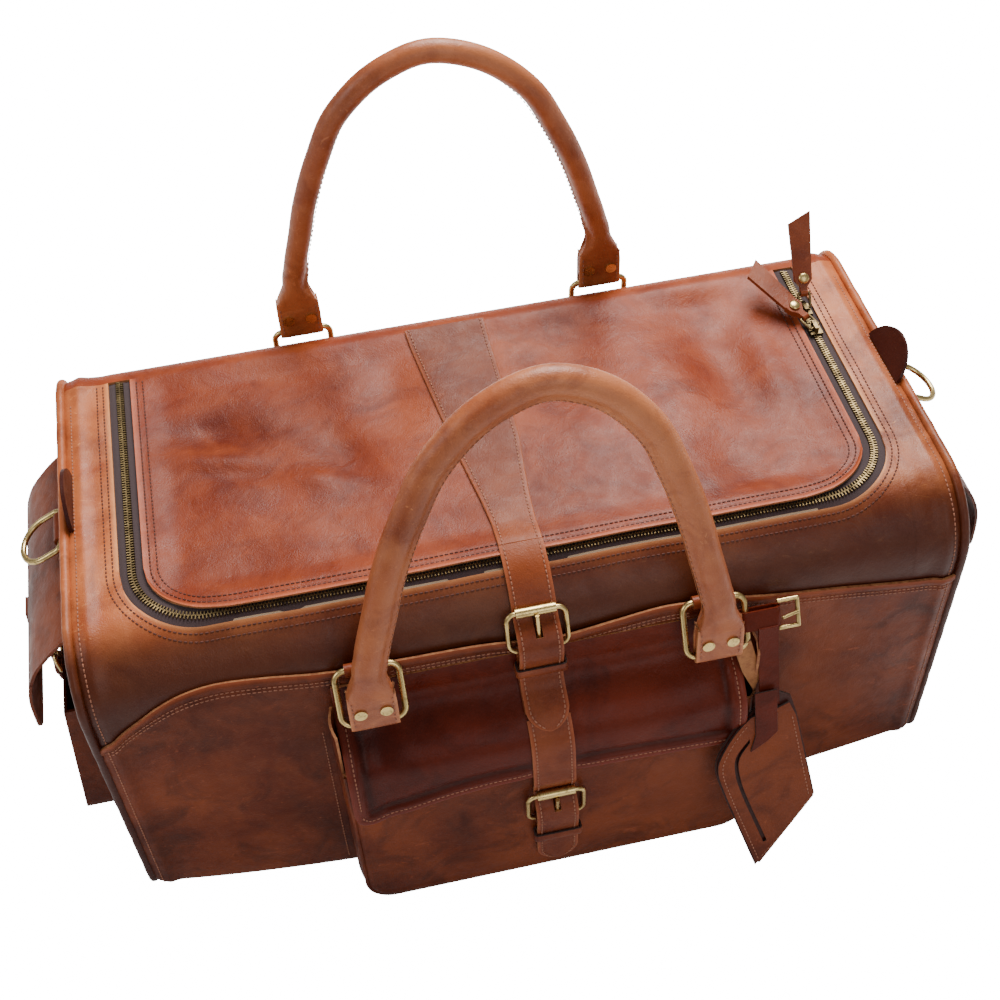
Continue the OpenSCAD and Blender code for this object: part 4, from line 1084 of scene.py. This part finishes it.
def handle(name, lean, y0, z0, body, skew, fat, turn):
    """A padded arch with its two folded tabs, and its stitches; fat is its radius."""
    at = turned(lean, y0, z0)
    tall = 174 / math.cos(math.radians(lean[1] - lean[0]))
    side = [(h, w if w < 48 else 48 + (w - 48) * tall / 174) for w, h in HALF_WIDTH]
    line = spline(side + [(0, 48 + tall)] + [(-h, w) for h, w in side[::-1]], 900)
    line = line[line[:, 1] > 9]
    s = lengths(line)
    q = np.concatenate([np.linspace(0, 60, 26, endpoint=False), np.linspace(60, s[-1] - 60, 90, endpoint=False),
                        np.linspace(s[-1] - 60, s[-1], 27)])
    x, w = np.interp(q, s, line[:, 0]), np.interp(q, s, line[:, 1])
    x = x + skew * (np.clip(w - 44, 0, None) / 178) ** 1.4
    tx, tw = np.gradient(x, q), np.gradient(w, q)
    n = np.hypot(tx, tw)
    inx, inw = -tw / n, tx / n
    a = 15.9 - (15.9 - fat) * smoothstep(24, 47, w)
    b = 4.5 + (fat - 4.5) * smoothstep(20, 47, w)
    swing = turn * smoothstep(47, 66, w)
    p = 6 - 4 * smoothstep(22, 47, w)
    cphi, sphi = np.cos(PHI[None, :] + swing[:, None]), np.sin(PHI[None, :] + swing[:, None])
    e = a[:, None] * np.sign(cphi) * np.abs(cphi) ** (2 / p[:, None])
    f = b[:, None] * np.sign(sphi) * np.abs(sphi) ** (2 / p[:, None])
    d = np.degrees(np.minimum(PHI, 2 * math.pi - PHI))[None, :]
    lip = smoothstep(32, 18, d) * 2.6 - smoothstep(9, 6.5, d) * 3.4
    lip = lip * smoothstep(26, 48, w)[:, None]
    e, f = e + lip * np.cos(swing)[:, None], f + lip * np.sin(swing)[:, None]
    knob = 0.25 * rumple(np.arange(len(w))[:, None] * 4.0, PHI[None, :] * 12, 40, 5) * smoothstep(50, 70, w)[:, None]
    e, f = e + knob * cphi, f + knob * sphi
    V = at(x[:, None] + inx[:, None] * e, f, w[:, None] + inw[:, None] * e)
    nu, nv = V.shape[:2]
    fs = quads(nu, nv, wrap_v=True)
    # dark edge colour on the faces deep in the seam's slit: partly the dyed leather edges, partly painted shade of the
    # narrow gap
    dark = {0, 1, nv - 1, nv - 2}
    fm = [1 if (i % nv) in dark and 46 < w[i // nv] else 0 for i in range(len(fs))]
    fs += [tuple(range(nv)), tuple((nu - 1) * nv + j for j in range(nv))]
    fm += [0, 0]
    worn = np.broadcast_to(0.5 * hump(d - 13, 6.0), (nu, nv)) * smoothstep(40, 60, w)[:, None]
    ob = mesh("handle_" + name, V.reshape(-1, 3), fs, [HANDLE, DARK_EDGE], body, fm,
              {"edge": worn.reshape(-1)}, sharp=50)
    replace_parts(ob, "handle_" + name)
    runs = []
    for sg in (-1, 1):
        def side_point(e, f):
            u, v = e * np.cos(swing) - f * np.sin(swing), e * np.sin(swing) + f * np.cos(swing)
            return at(x + inx * u, v, w + inw * u)
        q = side_point(fat + 1.6, sg * 3.6)
        n = side_point(fat + 1.6, sg * 4.6) - q
        runs.append((q[w > 52], unit(n[w > 52])))
    for s in (-1, 1):
        v = np.concatenate([np.linspace(30, 0, 12), -3.65 * np.sin(np.linspace(0, math.pi, 12))[1:-1],
                            np.linspace(0, 30, 12)])
        c = np.concatenate([np.full(12, -3.65), -3.65 * np.cos(np.linspace(0, math.pi, 12))[1:-1], np.full(12, 3.65)])
        nb, nvv = right_of(np.stack([c, v], axis=1)).T
        u = np.array([-1, -0.95, -0.8, -0.4, 0, 0.4, 0.8, 0.95, 1.0])
        hw = 16.2 - 0.6 * smoothstep(20, 30, v)
        outer = 1.1 - 0.8 * smoothstep(23, 30, v)
        sink = np.abs(u)[:, None] ** 8 * 0.35
        x = s * HANDLE_X + u[:, None] * hw[None, :]
        P = at(x, c + nb * (outer - sink), v + nvv * (outer - sink))
        base = at(x, c + 0 * sink, v + 0 * sink)
        N = unit(P - base)
        ef = np.exp(-(((1 - np.abs(u))[:, None] * 16) / 1.5) ** 2) + np.zeros_like(v)[None, :]
        thick("handle_tab_%s_%s" % (name, "r" if s > 0 else "l"), P, N, 2.1, [HANDLE, TAN], body,
              edge_fade=0.6 * ef)
        for k in (-1, 1):
            for sd in (-1, 1):
                q, far = (at(s * HANDLE_X + k * 13.4, sd * b, np.linspace(1, 25, 10)) for b in (4.78, 5.78))
                runs.append((q, unit(far - q)))
    stitches("stitch_handle_" + name, runs, body, THREAD, pitch=4.2, size=2.8, r=0.45)


handle("front", (6, 20), -152.55 - 39 * sind(30), 234 - 39 * cosd(30), "handle_front", 14, 10.0, 0.0)
handle("rear", (0, 0), 152.55 - 39 * sind(4), 222 + 39 * cosd(4), "handle_rear", -4, 8.4, 0.7)

# ---------------- name tag
TAG_OUT = np.array([0, -cosd(20), sind(20)])     # it leans back by 20 degrees


def tag_at(x, z, y=0.0):
    x, z = np.asarray(x, dtype=float), np.asarray(z, dtype=float)
    _, ny, nz = TAG_OUT
    return np.stack([156.5 + x, -190.8 - y * ny + z * nz, 155 - y * nz - z * ny], axis=-1)


def tag_layer(name, outline, hole, y, t, mat):
    loops = [outline] + ([hole] if hole else [])
    tris = tessellate_polygon([[Vector((a, b, 0)) for a, b in q] for q in loops])
    pts = np.array([q for lp in loops for q in lp], dtype=float)
    P = tag_at(pts[:, 0], pts[:, 1], y)
    N = np.broadcast_to(TAG_OUT, P.shape)
    return thick(name, P, N, t, [mat, DARK_EDGE], "tag", faces=[tuple(q) for q in tris], bevel=0.35)


left_side = spline([(-8, 4), (-17, -6), (-31, -20), (-42, -38), (-45, -51), (-41, -70), (-31, -104), (-18, -147)], 60)
OUTLINE = [tuple(q) for q in left_side] + [(28, -90), (15, -13), (11, 2), (3, 7), (-3, 7)]
tag_layer("tag_back", OUTLINE, None, 0.2, 2.0, DEEP)
slot_out = spline([(-20, -27), (-30, -40), (-31.5, -54), (-27, -76), (-12, -124)], 30)
slot_in = spline([(-20, -30.5), (-27.6, -42), (-28.6, -54), (-24.2, -76), (-9.4, -123)], 30)
INNER = [(q[0] + 1.3, q[1] - 0.4) for q in left_side[6:-2]] + [(-15, -143), (26.5, -90), (13.8, -14), (9, -2), (-2, -6)]
front_layer = tag_layer("tag_front", INNER, [tuple(q) for q in slot_out] + [tuple(q) for q in slot_in[::-1]],
                        -2.1, 1.9, SHADED_FRONT)
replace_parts(front_layer, "tag_pouch")
runs = []
for line in (left_side[9:-3] + np.array([[4.6, -1.2]]), np.array([(-14, -137.5), (4, -117), (23.2, -91.5)]),
             np.array([(22.8, -88), (17.5, -55), (11.2, -15)])):
    line = spline(line, 60)
    q = tag_at(line[:, 0], line[:, 1], -2.1)
    runs.append((q, np.broadcast_to(TAG_OUT, q.shape)))
stitches("stitch_tag", runs, "tag", THREAD, pitch=3.4, size=2.3, r=0.45)
tongue = [(-16, 12), (-16, -24), (-20, -38), (-8, -31), (0, -24), (0, 12)]
tag_layer("tag_strap_end", tongue, None, -3.6, 1.5, FLAP)
tail = np.array([(128.0, -172, 202.0), (140.0, -172, 206.0), (148.0, -180, 176.0), (142.5, -183, 161.0),
                 (134.0, -179, 180.0)])
thick("tag_tail", tail, np.broadcast_to(np.array([0, -0.94, 0.34]), tail.shape), 1.6, [FLESH, DARK_EDGE],
      "rings_front", faces=[(0, 1, 2, 3, 4)], bevel=0.2)


def dome(name, r, h, at, turn, body):
    """A low brass rivet head."""
    V, n = [], 20
    for a in np.linspace(0, math.pi / 2, 6)[:-1]:
        for k in range(n):
            g = 2 * math.pi * k / n
            V.append((r * math.cos(a) * math.cos(g), r * math.cos(a) * math.sin(g), h * math.sin(a)))
    V.append((0, 0, h))
    fs = [(i * n + k, i * n + (k + 1) % n, (i + 1) * n + (k + 1) % n, (i + 1) * n + k)
          for i in range(4) for k in range(n)]
    fs += [(4 * n + k, 4 * n + (k + 1) % n, 5 * n) for k in range(n)] + [tuple(range(n - 1, -1, -1))]
    V = np.array([turn @ Vector(v) + Vector(at) for v in V])
    return mesh(name, V, fs, [BRASS], body, sharp=60)


for tag, yb, yaw, tilt in (("a", 46, 30, 14), ("b", 68, -4, 52)):
    turn = Matrix.Rotation(math.radians(yaw), 3, "Z") @ Matrix.Rotation(math.radians(tilt), 3, "X")
    for s in (-1, 1):
        at = Vector((ZIP_X, yb, HEIGHT + 3.3)) + turn @ Vector((0, 22, s * 3.3))
        flip = turn if s > 0 else turn @ Matrix.Rotation(math.pi, 3, "X")
        dome("rivet_pull_%s_%s" % (tag, "u" if s > 0 else "d"), 4.1, 1.6, at, flip, "pull_" + tag)

# ---------------- shown CAD pieces
for names, m in ((("rings_front", "rings_rear", "rivets_front", "rivets_rear", "frame_top", "roller_top", "prong_top",
                   "frame_low", "roller_low", "prong_low", "d_ring_left", "d_ring_right", "end_buckle_left",
                   "end_buckle_right", "tag_buckle"), BRASS),
                 (("slider_a", "slider_b", "puller_ring_a", "puller_ring_b"), OLD_BRASS),
                 (("buckle_chapes", "handle_chapes", "end_chapes", "pull_a", "pull_b", "end_strap_left",
                   "end_strap_right"), STRAP),
                 (("end_pocket_left", "end_pocket_right", "end_flap_roots", "end_flap_left", "end_flap_right"), SHADED_FRONT),
                 (("tag_strap",), FLAP), (("end_tabs",), DEEP), (("base_board",), BOARD)):
    for n in names:
        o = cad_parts[n]
        o.data.materials.clear()
        o.data.materials.append(m)
        if m not in (BRASS, OLD_BRASS, BOARD):
            bevel_edges(o, 0.0005)

# ---------------- light and floor
def area(name, size, energy, at, to, colour=(1, 1, 1)):
    d = bpy.data.lights.new(name, "AREA")
    d.shape = "DISK"
    d.size, d.energy, d.color = size, energy, colour
    o = show(name, d)
    o.location = at
    o.rotation_euler = (Vector(to) - Vector(at)).to_track_quat("-Z", "Y").to_euler()


area("light_top", 1.5, 94, (0.55, 1.1, 2.0), (0, 0, 0.2), (1.0, 0.98, 0.95))
area("light_left", 1.2, 14, (-1.9, -0.2, 1.5), (0, 0, 0.2))
area("light_front", 1.6, 13, (0.5, -2.1, 1.5), (0, 0, 0.15))
world = bpy.data.worlds.new("world")
bpy.context.scene.world = world
world.use_nodes = True
world.node_tree.nodes["Background"].inputs["Color"].default_value = (1, 1, 1, 1)
world.node_tree.nodes["Background"].inputs["Strength"].default_value = 0.26
m = Nodes("floor_white")
m.put("Base Color", (0.9, 0.9, 0.9, 1))
m.put("Roughness", 0.9)
m.put("Specular IOR Level", 0.0)
path = m.new("ShaderNodeLightPath")
m.put("Emission Color", (1, 1, 1, 1))
m.put("Emission Strength", m.times(path.outputs["Is Camera Ray"], 16.0))
me = bpy.data.meshes.new("floor")
me.from_pydata([(-30, -30, 0), (30, -30, 0), (30, 30, 0), (-30, 30, 0)], [], [(0, 1, 2, 3)])
me.materials.append(m.mat)
floor = show("floor", me)
floor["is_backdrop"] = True

size = {"cad": [[round(c, 4) for c in v] for v in cad_box], "made": [[round(c, 4) for c in v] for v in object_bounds()]}
